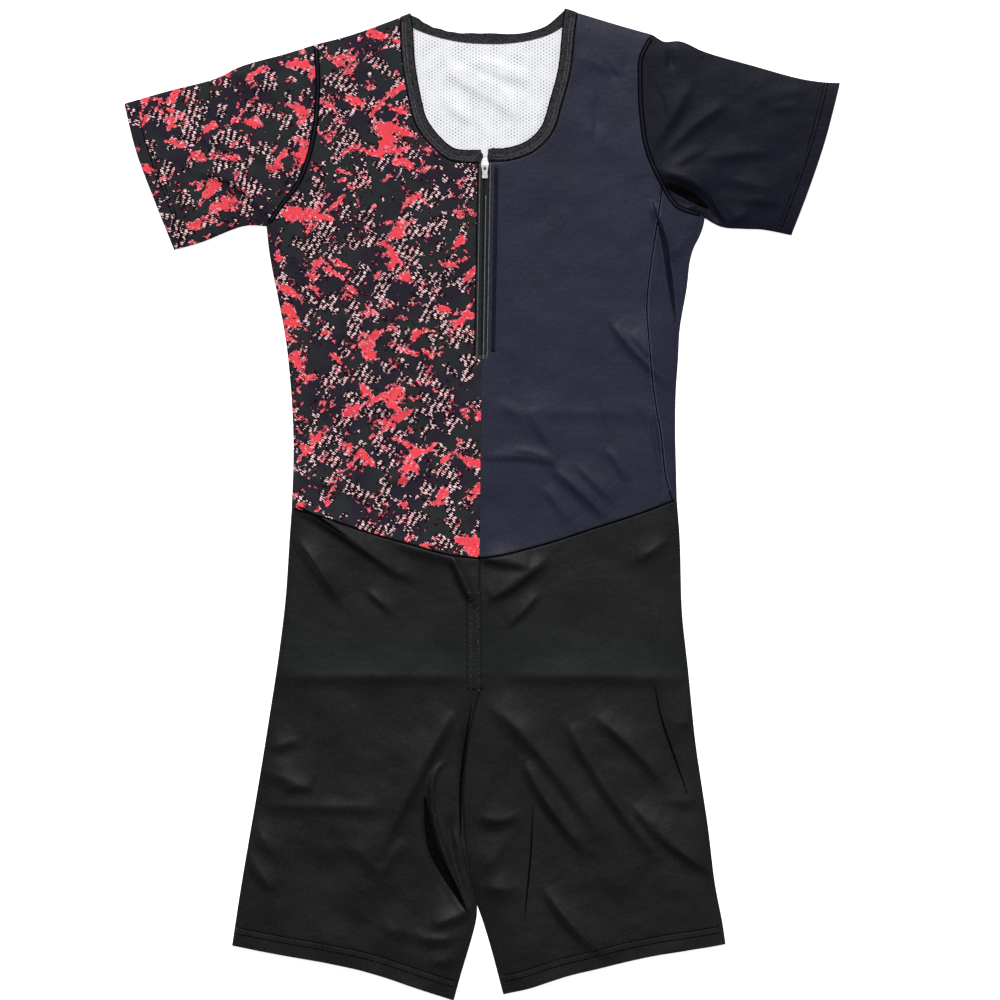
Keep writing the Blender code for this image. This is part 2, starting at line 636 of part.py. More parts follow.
def make_back(material):
    columns = steps(SHOULDER_COLUMNS_BACK, 0, BACK_SHOULDER) \
        + steps(BACK_NECK_COLUMNS, BACK_SHOULDER, 1 - BACK_SHOULDER)[1:] \
        + steps(SHOULDER_COLUMNS_BACK, 1 - BACK_SHOULDER, 1)[1:]
    split = straight(armhole_r(arm_seam_r), side_l(1))
    body = coons(waist_back(SEAM_R_WAIST, 1), split, seam_r, side_l)
    yoke = coons(split, back_top, stretch(armhole_r, arm_seam_r, arm_top_r),
                 stretch(armhole_l, 0, arm_top_l))
    over = coons(stretch(waist_l, 0, waist_seam_l), stretch(armhole_l, 0, arm_seam_l),
                 side_l, seam_l)
    side_fold = fold_place(side_l, -1, WAIST_SIDE_L, UNDERARM_L)
    return sheet("back", [
        (columns, FRONT_ROWS, flat_below(body)),
        (columns, steps(UNDER_ROWS), flat_below(yoke)),
        (FRONT_ROWS, FOLD_SHARES, side_fold),
        (steps(STRIP_COLUMNS), FRONT_ROWS, flat_top(over))], CLOTH, material)


def sleeve(name, under, top, armhole, cuff, over_steps, under_steps, hand, underarm, tip,
           material):
    """A flattened tube from the armhole to the cuff."""
    laid = coons(under, top, armhole, cuff)
    rows = steps(SLEEVE_ROWS)
    return sheet(name, [
        (rows, over_steps, flat_top(relaxed(rows, over_steps, laid))),
        (rows, under_steps, flat_below(relaxed(rows, under_steps, laid))),
        (rows, FOLD_SHARES, fold_place(under, hand, at_start=underarm)),
        (rows, FOLD_SHARES, fold_place(top, -hand, at_start=tip))], CLOTH, material)


def leg(name, out, touch, end, hem, waist, hand, waist_side, columns, material):
    """One leg: open to the rise above the crotch, a flattened tube below it."""
    inner = leg_inner(touch, end)
    upper = coons(waist, hem, out, leg_middle(RISE[0], inner))
    lower = coons(straight(out(0), waist_middle_back), hem, out,
                  leg_middle(waist_middle_back, inner))
    inner_rows = [row for row in LEG_ROWS if row >= RISE_SHARE - 1e-9]

    def inner_fold(row, share):
        t = (row - RISE_SHARE) / (1 - RISE_SHARE)
        along = (inner(min(t + 0.01, 1)) - inner(max(t - 0.01, 0))).normalized()
        return round_fold(inner(t), Vector((-along.y, along.x)) * -hand, share)

    return sheet(name, [
        (columns, LEG_ROWS, flat_top(upper)),
        (steps(LEG_COLUMNS_BACK), LEG_ROWS, flat_below(lower)),
        (LEG_ROWS, FOLD_SHARES, fold_place(out, hand, at_start=waist_side)),
        (inner_rows, FOLD_SHARES, inner_fold)], CLOTH, material)


def make_tape(name, outer_corner, neck_corner, material):
    """One zip tape, beside its front and up to the middle of the zip."""
    laid = coons(straight(ZIP_BOTTOM, outer_corner), straight(ZIP_TOP, neck_corner),
                 straight(ZIP_BOTTOM, ZIP_TOP), straight(outer_corner, neck_corner))
    return sheet(name, [([0.0, 1.0], steps(TAPE_ROWS), lambda u, v: on_top(laid(u, v), -TAPE_DROP))],
                 TAPE, material)


def make_binding(material):
    """The neck binding: one strip, on the fronts, over both shoulder folds, on the back."""
    raised = (BINDING - CLOTH) / 2

    def between(seam, edge, put):
        return lambda s, t: put(seam(t).lerp(edge(t), s), raised)

    def fold(seam_point, edge_point, outward):
        return lambda s, share: round_fold(
            Vector(seam_point).lerp(Vector(edge_point), s), outward, share, raised)

    def end(notch, seam, edge):
        return between(straight(notch[0], seam(0)), straight(notch[1], edge(0)), on_top)

    width = [0.0, 1.0]
    start, stop = neck_turn(True)[1], neck_turn(False)[1]
    back_steps = [0.0] + steps(BACK_NECK_COLUMNS, start, stop) + [1.0]
    return sheet("neck_binding", [
        (width, [0.0, 1.0], end(NOTCH_R, neck_seam_r, neck_edge_r)),
        (width, over_steps_r, between(neck_seam_r, neck_edge_r, on_top)),
        (width, FOLD_SHARES, fold(SHOULDER_R[-1], NECK_EDGE_R[-1], NECK_SIDE_R)),
        (width, back_steps, between(back_neck_seam, back_neck_edge, below)),
        (width, FOLD_SHARES, fold(SHOULDER_L[-1], NECK_EDGE_L[-1], NECK_SIDE_L)),
        (width, steps(ARM_ROWS), between(neck_seam_l, neck_edge_l, on_top)),
        (width, [0.0, 1.0], end(NOTCH_L, neck_seam_l, neck_edge_l))], BINDING, material)


# ---------------------------------------------------------------- slider and pull tab
def slider_base():
    """Height of the slider's underside, just clear of the tapes."""
    return UPPER - TAPE_DROP + TAPE / 2 + lift(Vector((HINGE_X, HINGE_Y))) + SEAM_GAP + 0.1


def box(bm, centre, size):
    place = Matrix.Translation(centre) @ Matrix.Diagonal((*size, 1.0))
    return bmesh.ops.create_cube(bm, size=1.0, matrix=place)


def cut_with(thing, cutter, operation):
    """Apply a Boolean with a helper object that is left out of the finished part."""
    cutter.hide_render = True
    cutter.display_type = "WIRE"
    step = thing.modifiers.new(operation.lower(), "BOOLEAN")
    step.operation = operation
    step.solver = "EXACT"
    step.object = cutter


def make_slider(material):
    """The slider's body, with the bridge on top that holds the pull tab."""
    base = slider_base()
    bm = bmesh.new()
    corners = [bm.verts.new((x, y, base)) for x, y in SLIDER_OUTLINE]
    face = bm.faces.new(corners)
    raised = bmesh.ops.extrude_face_region(bm, geom=[face])
    top = [item for item in raised["geom"] if isinstance(item, bmesh.types.BMVert)]
    bmesh.ops.translate(bm, vec=(0, 0, SLIDER_THICK), verts=top)
    bmesh.ops.recalc_face_normals(bm, faces=bm.faces)
    bmesh.ops.bevel(bm, geom=bm.edges[:], offset=SLIDER_BEVEL, segments=2, profile=0.5,
                    affect="EDGES", material=-1)
    slider = new_object("zip_slider", bm, material)

    bm = bmesh.new()
    bridge_middle = base + SLIDER_THICK + BRIDGE_HIGH / 2 - SLIDER_BEVEL
    box(bm, (HINGE_X, HINGE_Y, bridge_middle),
        (BRIDGE_WIDE, BRIDGE_LONG, BRIDGE_HIGH + SLIDER_BEVEL))
    top_edges = [edge for edge in bm.edges
                 if all(vert.co.z > bridge_middle for vert in edge.verts)]
    bmesh.ops.bevel(bm, geom=top_edges, offset=0.6, segments=2, profile=0.5,
                    affect="EDGES", material=-1)
    cut_with(slider, new_object("bridge_block", bm, material), "UNION")

    bm = bmesh.new()
    turn = Matrix.Translation((HINGE_X, HINGE_Y, hinge_height())) \
        @ Matrix.Rotation(math.pi / 2, 4, "Y")
    bmesh.ops.create_cone(bm, cap_ends=True, segments=12, radius1=BRIDGE_HOLE,
                          radius2=BRIDGE_HOLE, depth=BRIDGE_WIDE * 3, matrix=turn)
    cut_with(slider, new_object("bridge_hole", bm, material), "DIFFERENCE")
    return slider


def hinge_height():
    return slider_base() + SLIDER_THICK + HINGE_RISE


def make_pull(material):
    """The pull tab: a small plate whose top bar passes under the slider's bridge."""
    bm = bmesh.new()
    bm.verts.layers.float_vector.new("through")
    rows, columns = range(len(PULL_ROWS)), range(len(PULL_COLUMNS[0]))
    add_patch(bm, columns, rows, lambda column, row: (
        Vector((PULL_COLUMNS[row][column], PULL_ROWS[row], 0)), Vector((0, 0, 1))))
    slot = min(bm.faces, key=lambda face: (face.calc_center_median() - SLOT_MIDDLE).length)
    bmesh.ops.delete(bm, geom=[slot], context="FACES_ONLY")
    thicken(bm, PULL_THICK)
    place = Matrix.Translation((HINGE_X, HINGE_Y, hinge_height())) \
        @ Matrix.Rotation(PULL_TILT, 4, "X")
    bmesh.ops.transform(bm, matrix=place, verts=bm.verts)
    return new_object("zip_pull", bm, material)


def main():
    for thing in list(bpy.data.objects):
        bpy.data.objects.remove(thing, do_unlink=True)
    print_knit = make_material("printed_knit", (0.20, 0.035, 0.04), 0.75)
    plain_knit = make_material("navy_knit", (0.030, 0.030, 0.048), 0.7)
    mesh_knit = make_material("mesh_knit", (0.86, 0.87, 0.92), 0.8)
    satin_knit = make_material("satin_knit", (0.013, 0.015, 0.015), 0.5)
    binding_knit = make_material("binding_knit", (0.019, 0.019, 0.021), 0.75)
    tape_weave = make_material("zip_tape", (0.021, 0.021, 0.023), 0.8)
    metal = make_material("nickel", (0.75, 0.75, 0.74), 0.25, 1.0)

    make_front_print(print_knit)
    make_front_plain(plain_knit)
    make_back(mesh_knit)
    sleeve("sleeve_print", sleeve_under_r, sleeve_top_r, armhole_r, cuff_r, over_steps_r,
           under_steps_r, 1, UNDERARM_R, TIP_R, print_knit)
    sleeve("sleeve_plain", sleeve_under_l, sleeve_top_l, armhole_l, cuff_l, over_steps_l,
           under_steps_l, -1, UNDERARM_L, TIP_L, plain_knit)
    leg("leg_right", leg_out_r, leg_touch_r, leg_end_r, hem_r, waist_r, -1, WAIST_SIDE_R,
        leg_steps_r, satin_knit)
    leg("leg_left", leg_out_l, leg_touch_l, leg_end_l, hem_l, waist_l, 1, WAIST_SIDE_L,
        leg_steps_l, satin_knit)
    make_binding(binding_knit)
    make_tape("zip_tape_right", ZIP_CORNER_R, neck_seam_r(0), tape_weave)
    make_tape("zip_tape_left", ZIP_CORNER_L, neck_seam_l(0), tape_weave)
    make_slider(metal)
    make_pull(metal)


main()
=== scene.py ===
"""Running speedsuit, laid flat with its front up: its cloth, sewing, zip and stage.

The frame's solids are the suit's panels. Each gets a fine shell of knit here, on the same
lines, with creases, hems and seams. Right and left are the wearer's: the right side is at
-X, the neck towards +Y. Lines are in millimetres of the suit's pattern; new_piece() puts
them in the frame, in metres.
"""
import functools
import math
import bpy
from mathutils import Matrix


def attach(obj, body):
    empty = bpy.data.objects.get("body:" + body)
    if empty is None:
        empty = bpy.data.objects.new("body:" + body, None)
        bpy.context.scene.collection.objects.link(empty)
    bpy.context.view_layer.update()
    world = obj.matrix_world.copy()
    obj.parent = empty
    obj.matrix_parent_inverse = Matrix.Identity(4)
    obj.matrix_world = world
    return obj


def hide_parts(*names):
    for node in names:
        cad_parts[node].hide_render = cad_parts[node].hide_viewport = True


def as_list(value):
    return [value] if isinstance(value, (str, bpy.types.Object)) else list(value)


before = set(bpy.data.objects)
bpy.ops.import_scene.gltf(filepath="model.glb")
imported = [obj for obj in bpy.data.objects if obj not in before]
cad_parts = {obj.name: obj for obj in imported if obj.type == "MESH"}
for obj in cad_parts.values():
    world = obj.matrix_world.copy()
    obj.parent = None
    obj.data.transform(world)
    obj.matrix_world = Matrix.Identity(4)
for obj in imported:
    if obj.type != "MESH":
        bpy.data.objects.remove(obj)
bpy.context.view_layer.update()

from types import SimpleNamespace

import bmesh
import bpy
import numpy as np
from mathutils import Matrix, Vector

bl_info = {
    "name": "Running Speedsuit",
    "version": (1, 0, 0),
    "blender": (4, 5, 0),
    "location": "View3D > Sidebar > Speedsuit",
    "description": "Dresses a flat-laid running speedsuit in knit, sewing and a zip",
    "category": "Object",
}

MM = 0.001
ORIGIN_SHIFT = (2.55, 0.25, 0.0)             # from the pattern's origin to the frame's


# ------------------------------------------------------------ what a user would change
def hex_colour(code):
    """An sRGB hex colour as linear red, green and blue."""
    shown = [int(code[at:at + 2], 16) / 255 for at in (1, 3, 5)]
    return [value / 12.92 if value <= 0.04045 else ((value + 0.055) / 1.055) ** 2.4
            for value in shown]


def number(name, description, default, **extra):
    return bpy.props.FloatProperty(name=name, description=description, default=default,
                                   **extra)


def length(name, description, default_mm):
    return number(name, description, default_mm * MM, min=0.0, unit="LENGTH")


def angle(name, description, degrees):
    return number(name, description, math.radians(degrees), subtype="ANGLE")


def colour(name, description, code):
    return bpy.props.FloatVectorProperty(name=name, description=description, size=3,
                                         default=hex_colour(code), subtype="COLOR",
                                         min=0.0, max=1.0)


class SuitSizes(bpy.types.PropertyGroup):
    """Sizes of the cloth and its sewing."""
    cloth: length("Knit", "Thickness of the knit with its turnings", 1.0)
    cell: length("Cell", "Size of the cloth's grid cells", 2.4)
    stitch: length("Stitch", "Length of one stitch in the hems", 2.6)
    thread: length("Thread", "Thickness of the sewing thread", 0.42)
    sleeve_hem: length("Sleeve hem", "From the cuff's edge to its stitches", 15.0)
    leg_hem: length("Leg hem", "From the leg's edge to its upper stitches", 18.7)
    hem_rows: length("Hem rows", "Between the two rows of a leg hem", 6.2)
    cuff_rows: length("Cuff rows", "Between the two rows of a cuff", 3.4)
    armhole_band: length("Armhole band", "Width of the flat seam round the armhole", 5.2)
    rise_band: length("Rise band", "Width of the flat seam down the front rise", 15.0)
    binding: length("Binding", "Thickness of the folded neck binding", 1.8)
    tape: length("Zip tape", "Thickness of the zip tape", 0.9)
    coil_pitch: length("Coil pitch", "From one tooth of the coil to the next", 1.3)


class SuitColours(bpy.types.PropertyGroup):
    """Colours of the cloth, thread and metal."""
    charcoal: colour("Charcoal", "Ground of the print", "#292C2E")
    plum: colour("Plum", "Second ground of the print", "#27232E")
    print_black: colour("Print black", "Ground between the dashes", "#1C0409")
    coral: colour("Coral", "Blots of the print", "#EC4753")
    pink: colour("Pink", "Splinters beside the blots", "#FF7082")
    speckle: colour("Speckle", "Pale dashes of the print", "#FFD8DD")
    navy: colour("Navy", "Plain front", "#262737")
    # Sleeve navy also colours the bands of painted shade beside the zip and along the left
    # side.
    sleeve_navy: colour("Sleeve navy", "Plain sleeve", "#12131F")
    satin: colour("Satin black", "Legs", "#121312")
    mesh_white: colour("Mesh white", "Inside of the back", "#EFF0F4")
    mesh_dot: colour("Mesh dot", "Holes of the mesh back", "#6E7380")
    binding: colour("Binding", "Neck binding", "#2A2A2D")
    seam: colour("Seam", "Flat seams and the shade in seams", "#060607")
    tape: colour("Zip tape", "Zip tape and coil", "#191B1C")
    thread: colour("Thread", "Sewing thread on the binding", "#707076")
    side_thread: colour("Side thread", "Sewing thread of the side seam", "#43455A")
    dark_thread: colour("Dark thread", "Sewing thread of the hems", "#08080A")
    metal: colour("Metal", "Slider and pull tab", "#FFFFFF")


class StageSettings(bpy.types.PropertyGroup):
    """Camera, lights and floor."""
    camera_height: length("Camera height", "From the floor up to the camera", 2400.0)
    frame_width: length("Frame width", "Width of the picture at the cloth", 1000.0)
    aim_x: length("Aim X", "Middle of the picture, across", 18.05)
    aim_y: length("Aim Y", "Middle of the picture, along", 4.25)
    floor: colour("Floor", "Pale table under the suit", "#F9F9F9")
    world: number("World light", "Strength of the even light", 0.13)
    key: number("Key light", "Strength of the window light", 3.4)
    softness: angle("Softness", "How wide the window light looks from the suit", 16)
    slant: angle("Slant", "How far the window light leans from straight down", 40)
    heading: angle("Heading", "Which side the window light comes from", 184)
    glow: number("Table glow", "Light that the lit table gives by itself", 0.8)
    fill: number("Fill light", "Power of the fill light in watts", 4.0)
    overhead: number("Overhead light", "Power of the overhead light in watts", 4.0)


def sizes():
    return bpy.context.scene.suit_sizes


def colours():
    return bpy.context.scene.suit_colours


def mm(value):
    """A property's length in the pattern's millimetres."""
    return value / MM


# ------------------------------------------------------------ lines in the plane
class Line:
    """A smooth line through points of the plane, read with 0 to 1 by its length."""

    def __init__(self, points, dense=24):
        points = np.array([tuple(point) for point in points], float)
        padded = np.vstack([2 * points[0] - points[1], points, 2 * points[-1] - points[-2]])
        t = np.linspace(0, 1, dense + 1)[1:, None]
        self.samples = np.vstack([points[:1]] + [
            centripetal(padded[index:index + 4], t) for index in range(len(points) - 1)])
        gaps = np.linalg.norm(np.diff(self.samples, axis=0), axis=1)
        lengths = np.concatenate([[0], np.cumsum(gaps)])
        self.length = lengths[-1]
        self.at = lengths / self.length
        self.knots = self.at[::dense]

    def __call__(self, t):
        t = np.clip(t, 0, 1)
        return np.stack([np.interp(t, self.at, self.samples[:, axis]) for axis in (0, 1)],
                        axis=-1)

    def along(self, t, step=0.004):
        return unit(self(np.asarray(t) + step) - self(np.asarray(t) - step))

    def normal(self, t, hand=1):
        """Unit vector square to the line, to its left for hand 1, right for hand -1."""
        return quarter_turn(self.along(t)) * hand


def unit(vectors):
    return vectors / np.maximum(np.linalg.norm(vectors, axis=-1, keepdims=True), 1e-12)


def quarter_turn(vectors):
    return np.stack([-vectors[..., 1], vectors[..., 0]], axis=-1)


def centripetal(points, t):
    """Catmull-Rom points between the second and third of four points."""
    gaps = np.linalg.norm(np.diff(points, axis=0), axis=1)
    knots = np.concatenate([[0], np.cumsum(np.sqrt(np.maximum(gaps, 1e-6)))])
    x = knots[1] + (knots[2] - knots[1]) * t

    def mix(a, b, low, high):
        return a * (high - x) / (high - low) + b * (x - low) / (high - low)

    firsts = [mix(points[i], points[i + 1], knots[i], knots[i + 1]) for i in range(3)]
    seconds = [mix(firsts[i], firsts[i + 1], knots[i], knots[i + 2]) for i in range(2)]
    return mix(*seconds, knots[1], knots[2])


def stretch(line, start, end):
    """The part of a line from start to end, again read with 0 to 1."""
    return lambda t: line(start + (end - start) * np.asarray(t, float))


def straight(start, end):
    start, end = np.array(start, float), np.array(end, float)
    return lambda t: start + (end - start) * np.asarray(t, float)[..., None]


def chain(first, second, share):
    """Two lines end to end; the first takes the given share of 0 to 1."""
    def place(t):
        t = np.asarray(t, float)
        late = (t >= share - 1e-9)[..., None]
        return np.where(late, second((t - share) / (1 - share)),
                        first(np.minimum(t / share, 1)))
    return place


def steps(count, start=0.0, end=1.0):
    return np.linspace(start, end, int(count) + 1)


EDGE_STEPS = (0.5, 1.1, 1.9, 3.0)            # closer steps beside an edge, mm


def fine_steps(run, start=0.0, end=1.0, fine="start and end", extra=()):
    """Steps over a run of that many millimetres, closer together beside its fine ends."""
    near = [step / run for step in EDGE_STEPS if step < run / 3]
    marks = [*steps(max(2, round(run / mm(sizes().cell)))), *extra]
    marks += near if "start" in fine else []
    marks += [1 - step for step in near] if "end" in fine else []
    kept, least = [], 0.3 * EDGE_STEPS[0] / run
    for mark in sorted(set(round(mark, 6) for mark in marks if 0 <= mark <= 1)):
        if not kept or mark - kept[-1] > least:
            kept.append(mark)
    kept[-1] = 1.0
    return start + (end - start) * np.array(kept)


def joined_steps(*runs):
    return np.unique(np.concatenate(runs).round(7))


def coons(bottom, top, left, right):
    """Surface between four edge lines: place(u, v), u left to right, v bottom to top."""
    def place(u, v):
        us, vs = np.asarray(u, float)[..., None], np.asarray(v, float)[..., None]
        zero, one = np.zeros(1), np.ones(1)
        return (bottom(u) * (1 - vs) + top(u) * vs + left(v) * (1 - us) + right(v) * us
                - (bottom(zero) * (1 - us) + bottom(one) * us) * (1 - vs)
                - (top(zero) * (1 - us) + top(one) * us) * vs)
    return place


RELAX_ROUNDS = 260


def relaxed(us, vs, place):
    """The same grid with its inner points evened out, for a corner that is nearly flat."""
    grid = place(*np.meshgrid(us, vs, indexing="ij"))
    du, dv = np.diff(us), np.diff(vs)
    west, east = du[:-1, None, None], du[1:, None, None]
    south, north = dv[None, :-1, None], dv[None, 1:, None]
    across, along = 1 / (west * east), 1 / (south * north)
    for _ in range(RELAX_ROUNDS):
        side = (grid[:-2, 1:-1] * east + grid[2:, 1:-1] * west) / (west + east)
        end = (grid[1:-1, :-2] * north + grid[1:-1, 2:] * south) / (south + north)
        grid[1:-1, 1:-1] = (side * across + end * along) / (across + along)
    return lambda u, v: grid[np.searchsorted(us, u - 1e-9), np.searchsorted(vs, v - 1e-9)]


# ------------------------------------------------------------ the suit's lines, mm
# The side lines are the lines where the cloth turns over. Both halves have the same lines.
def suit_half(name, hand, zip_corner, notch, notch_bulge, notch_middle, **lines):
    """One half of the suit; hand is the side of its side fold that is outwards."""
    return SimpleNamespace(
        name=name, hand=hand, zip_corner=zip_corner, notch=notch, notch_bulge=notch_bulge,
        notch_middle=notch_middle, **{key: Line(line) for key, line in lines.items()})


def waist_back(start, end):
    """The back's waist seam between two shares of the suit's width."""
    first, last = np.array(WAIST_SIDES, float)
    return straight(first + (last - first) * start, first + (last - first) * end)


def legs_touch(aside):
    return [(x + aside, y) for x, y in LEGS_TOUCH]


WAIST_SIDES = ((-191.3, -5), (190.8, 4))     # where the waist seam meets the side folds
RISE = ((-5, -54.2), (-4.5, -186))
LEGS_TOUCH = ((-4.5, -186), (-14.5, -226), (-21, -286), (-20.5, -316), (-15.4, -364),
              (-7.5, -400))
LEG_FOLD_ROOM = 2.2      # from the line where the legs touch to each leg's own fold line
SEAM_AT_WAIST = 0.0125   # share of the width where the right side seam meets the waist
WAIST_MIDDLE = waist_back(0, 1)(0.488)
ZIP_BOTTOM, ZIP_TOP = (-2.9, 143.5), (-0.1, 341.5)
RIGHT = suit_half(
    "right", 1, zip_corner=(-10.1, 147.5), notch=((-3.5, 341.5), (-3.5, 354)),
    notch_bulge=2.6, notch_middle=0.55,
    side=((-191.3, -5), (-189.5, 45), (-190, 80), (-192.3, 118), (-197, 163), (-204.5, 204),
          (-211.3, 238), (-215, 262), (-216.5, 279.5)),
    armhole=((-216.5, 279.5), (-205.5, 295), (-184.5, 324), (-170.5, 369), (-166.5, 424),
             (-168.5, 458.3)),
    shoulder=((-168.5, 458.3), (-134.5, 467.2), (-97.5, 480.2), (-84.0, 485.3)),
    sleeve_top=((-168.5, 458.3), (-197.5, 449.2), (-243.5, 436.2), (-268.5, 424.2),
                (-316.5, 411.5), (-360, 399)),
    sleeve_under=((-216.5, 279.5), (-231, 280.6), (-243, 279.4), (-256, 275), (-284, 263.5),
                  (-311, 256)),
    cuff=((-311, 256), (-330, 304), (-348, 352), (-360, 399)),
    seam=(waist_back(0, 1)(SEAM_AT_WAIST), (-180, 30), (-176, 75), (-172, 120), (-170, 165),
          (-172, 205), (-178, 250), (-181, 290), (-184.5, 324)),
    waist=((-191.3, -5), (-160.5, -13), (-126.5, -25), (-97.5, -34), (-67.5, -42),
           (-38.5, -50), (-5, -54.2)),
    leg_out=((-191.3, -5), (-193.5, -36), (-197.5, -95), (-204.5, -153), (-213.5, -212),
             (-220, -253), (-227.5, -298), (-235.8, -346), (-242.8, -388), (-251, -442)),
    leg_end=((-9.7, -400), (-10.4, -414), (-15.2, -434), (-26.2, -471), (-33, -496)),
    hem=((-251, -442), (-198.5, -452), (-156.5, -459), (-115.5, -468.5), (-65.5, -485),
         (-33, -496)),
    neck_seam=((-6.6, 341.5), (-21.5, 341.5), (-36.8, 344.9), (-52.7, 357.6),
               (-68.9, 379.8), (-76.7, 409.5), (-81.9, 441.6), (-84, 471), (-84, 485.3)),
    neck_edge=((-6.6, 354), (-20.5, 354), (-31, 356), (-43.5, 366), (-57.5, 385),
               (-64.5, 412), (-69.5, 443), (-71.5, 473), (-73.5, 489.5)),
    leg_touch=legs_touch(-LEG_FOLD_ROOM))
LEFT = suit_half(
    "left", -1, zip_corner=(3.1, 147.5), notch=((3.6, 342.8), (3.6, 355.5)),
    notch_bulge=-0.9, notch_middle=0.4,
    side=((190.8, 4), (189.8, 43), (189.2, 74), (189.8, 113), (192, 145), (193.8, 176),
          (200.8, 217), (204, 244), (207.8, 257), (213.6, 268.5), (217.4, 279),
          (219, 288.8)),
    armhole=((219, 288.8), (193.5, 297), (177.5, 320), (162.5, 354), (156.5, 394),
             (155.5, 428), (156.5, 446), (167.5, 468)),
    shoulder=((167.5, 468), (135.5, 477), (92.5, 490)),
    sleeve_top=((167.5, 468), (179.5, 461), (195.5, 461.4), (219.5, 451), (269.5, 436.6),
                (315.5, 424), (339.5, 420.4), (355.3, 419.8)),
    sleeve_under=((219, 288.8), (237.5, 279), (259.5, 277), (278.5, 276.2), (307.6, 270.6)),
    cuff=((307.6, 270.6), (324.8, 316), (340.8, 364), (355.3, 419.8)),
    seam=((187.5, 2.9), (180.5, 27), (175.5, 70), (171.5, 92), (166.5, 128), (163.5, 163),
          (161.5, 199), (166.5, 247), (171.5, 279), (177.5, 320)),
    waist=((190.8, 4), (187.5, 2.9), (159.5, -8), (113.5, -23), (67.5, -38), (21.5, -50),
           (-5, -54.2)),
    leg_out=((190.8, 4), (193.8, -36), (196, -108), (202, -165), (209.3, -237),
             (215.5, -280), (222, -323), (229, -380), (236.8, -421), (239.6, -440.5)),
    leg_end=((-5.3, -400), (1, -418), (8.8, -444), (21, -490)),
    hem=((239.6, -440.5), (200.5, -446.5), (169.5, -451.5), (140.5, -458), (114.5, -464.5),
         (80.5, -472.5), (42, -485), (21, -490)),
    neck_seam=((6.4, 343), (24, 343.5), (49.1, 352.4), (67.4, 370.9), (77.5, 401),
               (85.8, 432.8), (89.9, 471.7), (92.5, 490)),
    neck_edge=((6.4, 355.5), (22.5, 356), (42.5, 363), (56.5, 377), (65.5, 404.5),
               (73.5, 435), (77.5, 473), (79.8, 494)),
    leg_touch=legs_touch(LEG_FOLD_ROOM))
HALVES = (RIGHT, LEFT)
back_neck_seam = Line(((-84.0, 485.3), (-71.5, 477), (-54.5, 470), (-24.5, 463),
                       (14.5, 461), (42.5, 464), (63.5, 470), (76.5, 477), (92.5, 490)))
back_neck_edge = Line(((-73.5, 489.5), (-66.5, 486), (-54.5, 479), (-35.5, 473),
                       (2.5, 471), (40.5, 472), (60.5, 478), (79.8, 494)))
rise = Line(RISE)

SHOULDER_TURN = 6.0      # how far the fronts reach over the shoulder fold
ARM_TURN = 6.0
JOG_AT, JOG = 0.5, 0.04  # where a front's middle edge steps aside at the zip's end
BACK_SHOULDER = 0.24     # the shoulder seam's share of the back's upper edge
RISE_SHARE, TOUCH_SHARE = 0.30, 0.48         # of a leg's inner line
INNER_FOLD = 1.36        # the legs' inner folds are pressed flatter, till they touch


def mitre(first, second):
    """Outward vector at the corner of two fold lines, from their unit normals."""
    return (first + second) / (1 + first @ second)


for half in HALVES:
    hand = half.hand
    half.arm_top = 1 - ARM_TURN / half.armhole.length
    half.arm_seam = half.armhole.knots[2]
    half.underarm = mitre(half.side.normal(1, hand), half.sleeve_under.normal(0, hand))
    half.tip = mitre(half.shoulder.normal(0, hand), half.sleeve_top.normal(0, -hand))
    half.waist_side = mitre(half.side.normal(0, hand), half.leg_out.normal(0, -hand))
    half.neck_side = half.shoulder.normal(1, hand)
NECK_TURN = SHOULDER_TURN / back_neck_seam.length
RIGHT.neck_turn, LEFT.neck_turn = (0.0, NECK_TURN), (1.0, 1 - NECK_TURN)
WAIST_SEAM_L = LEFT.waist.knots[1]


# ------------------------------------------------------------ height of the cloth, mm
SOLID_CLOTH, LAYER_GAP = 1.2, 1.4            # the solids' walls, and the air between them
LOWER = SOLID_CLOTH / 2                      # middle of the lower layer
UPPER = SOLID_CLOTH * 1.5 + LAYER_GAP        # and of the upper one at its edges
FOLD_RADIUS = (UPPER - LOWER) / 2
CROWN, CROWN_REACH, CREASE_REACH = 0.9, 16.0, 5.0
LOOSE_CROWN, LOOSE_REACH = 1.9, 30.0         # the cloth stands higher away from the zip
MOST_LIFT, LEAST_LIFT, LIFT_ROUND = 9.0, -1.4, 0.3
UNEVEN = ((41, 0.8, 1), (19, 0.34, 2), (9.5, 0.1, 3))     # cell, height, seed
LEG_SLACK, LEG_SLACK_FROM, LEG_SLACK_OVER = 0.9, -260.0, 25.0      # more uneven legs
HEM_STEP, HEM_GROOVE, HEM_PUCKER, PUCKER_PITCH = 0.12, 0.25, 0.3, 4.4
SEAM_DIP, SEAM_DIP_REACH, RISE_DIP = 0.55, 1.3, 0.4
FOLD_WIDTH, FOLD_STRENGTH, TROUGH_STRENGTH = 1.45, 2.3, 1.7
LONG_SLOPE, SHORT_SLOPE = 1.9, 0.95
BACK_WAVES, BACK_MOST = 2.6, 2.2
NECK_WINDOW = ((2, 412), 46, 34)             # middle and half sizes of where the back shows
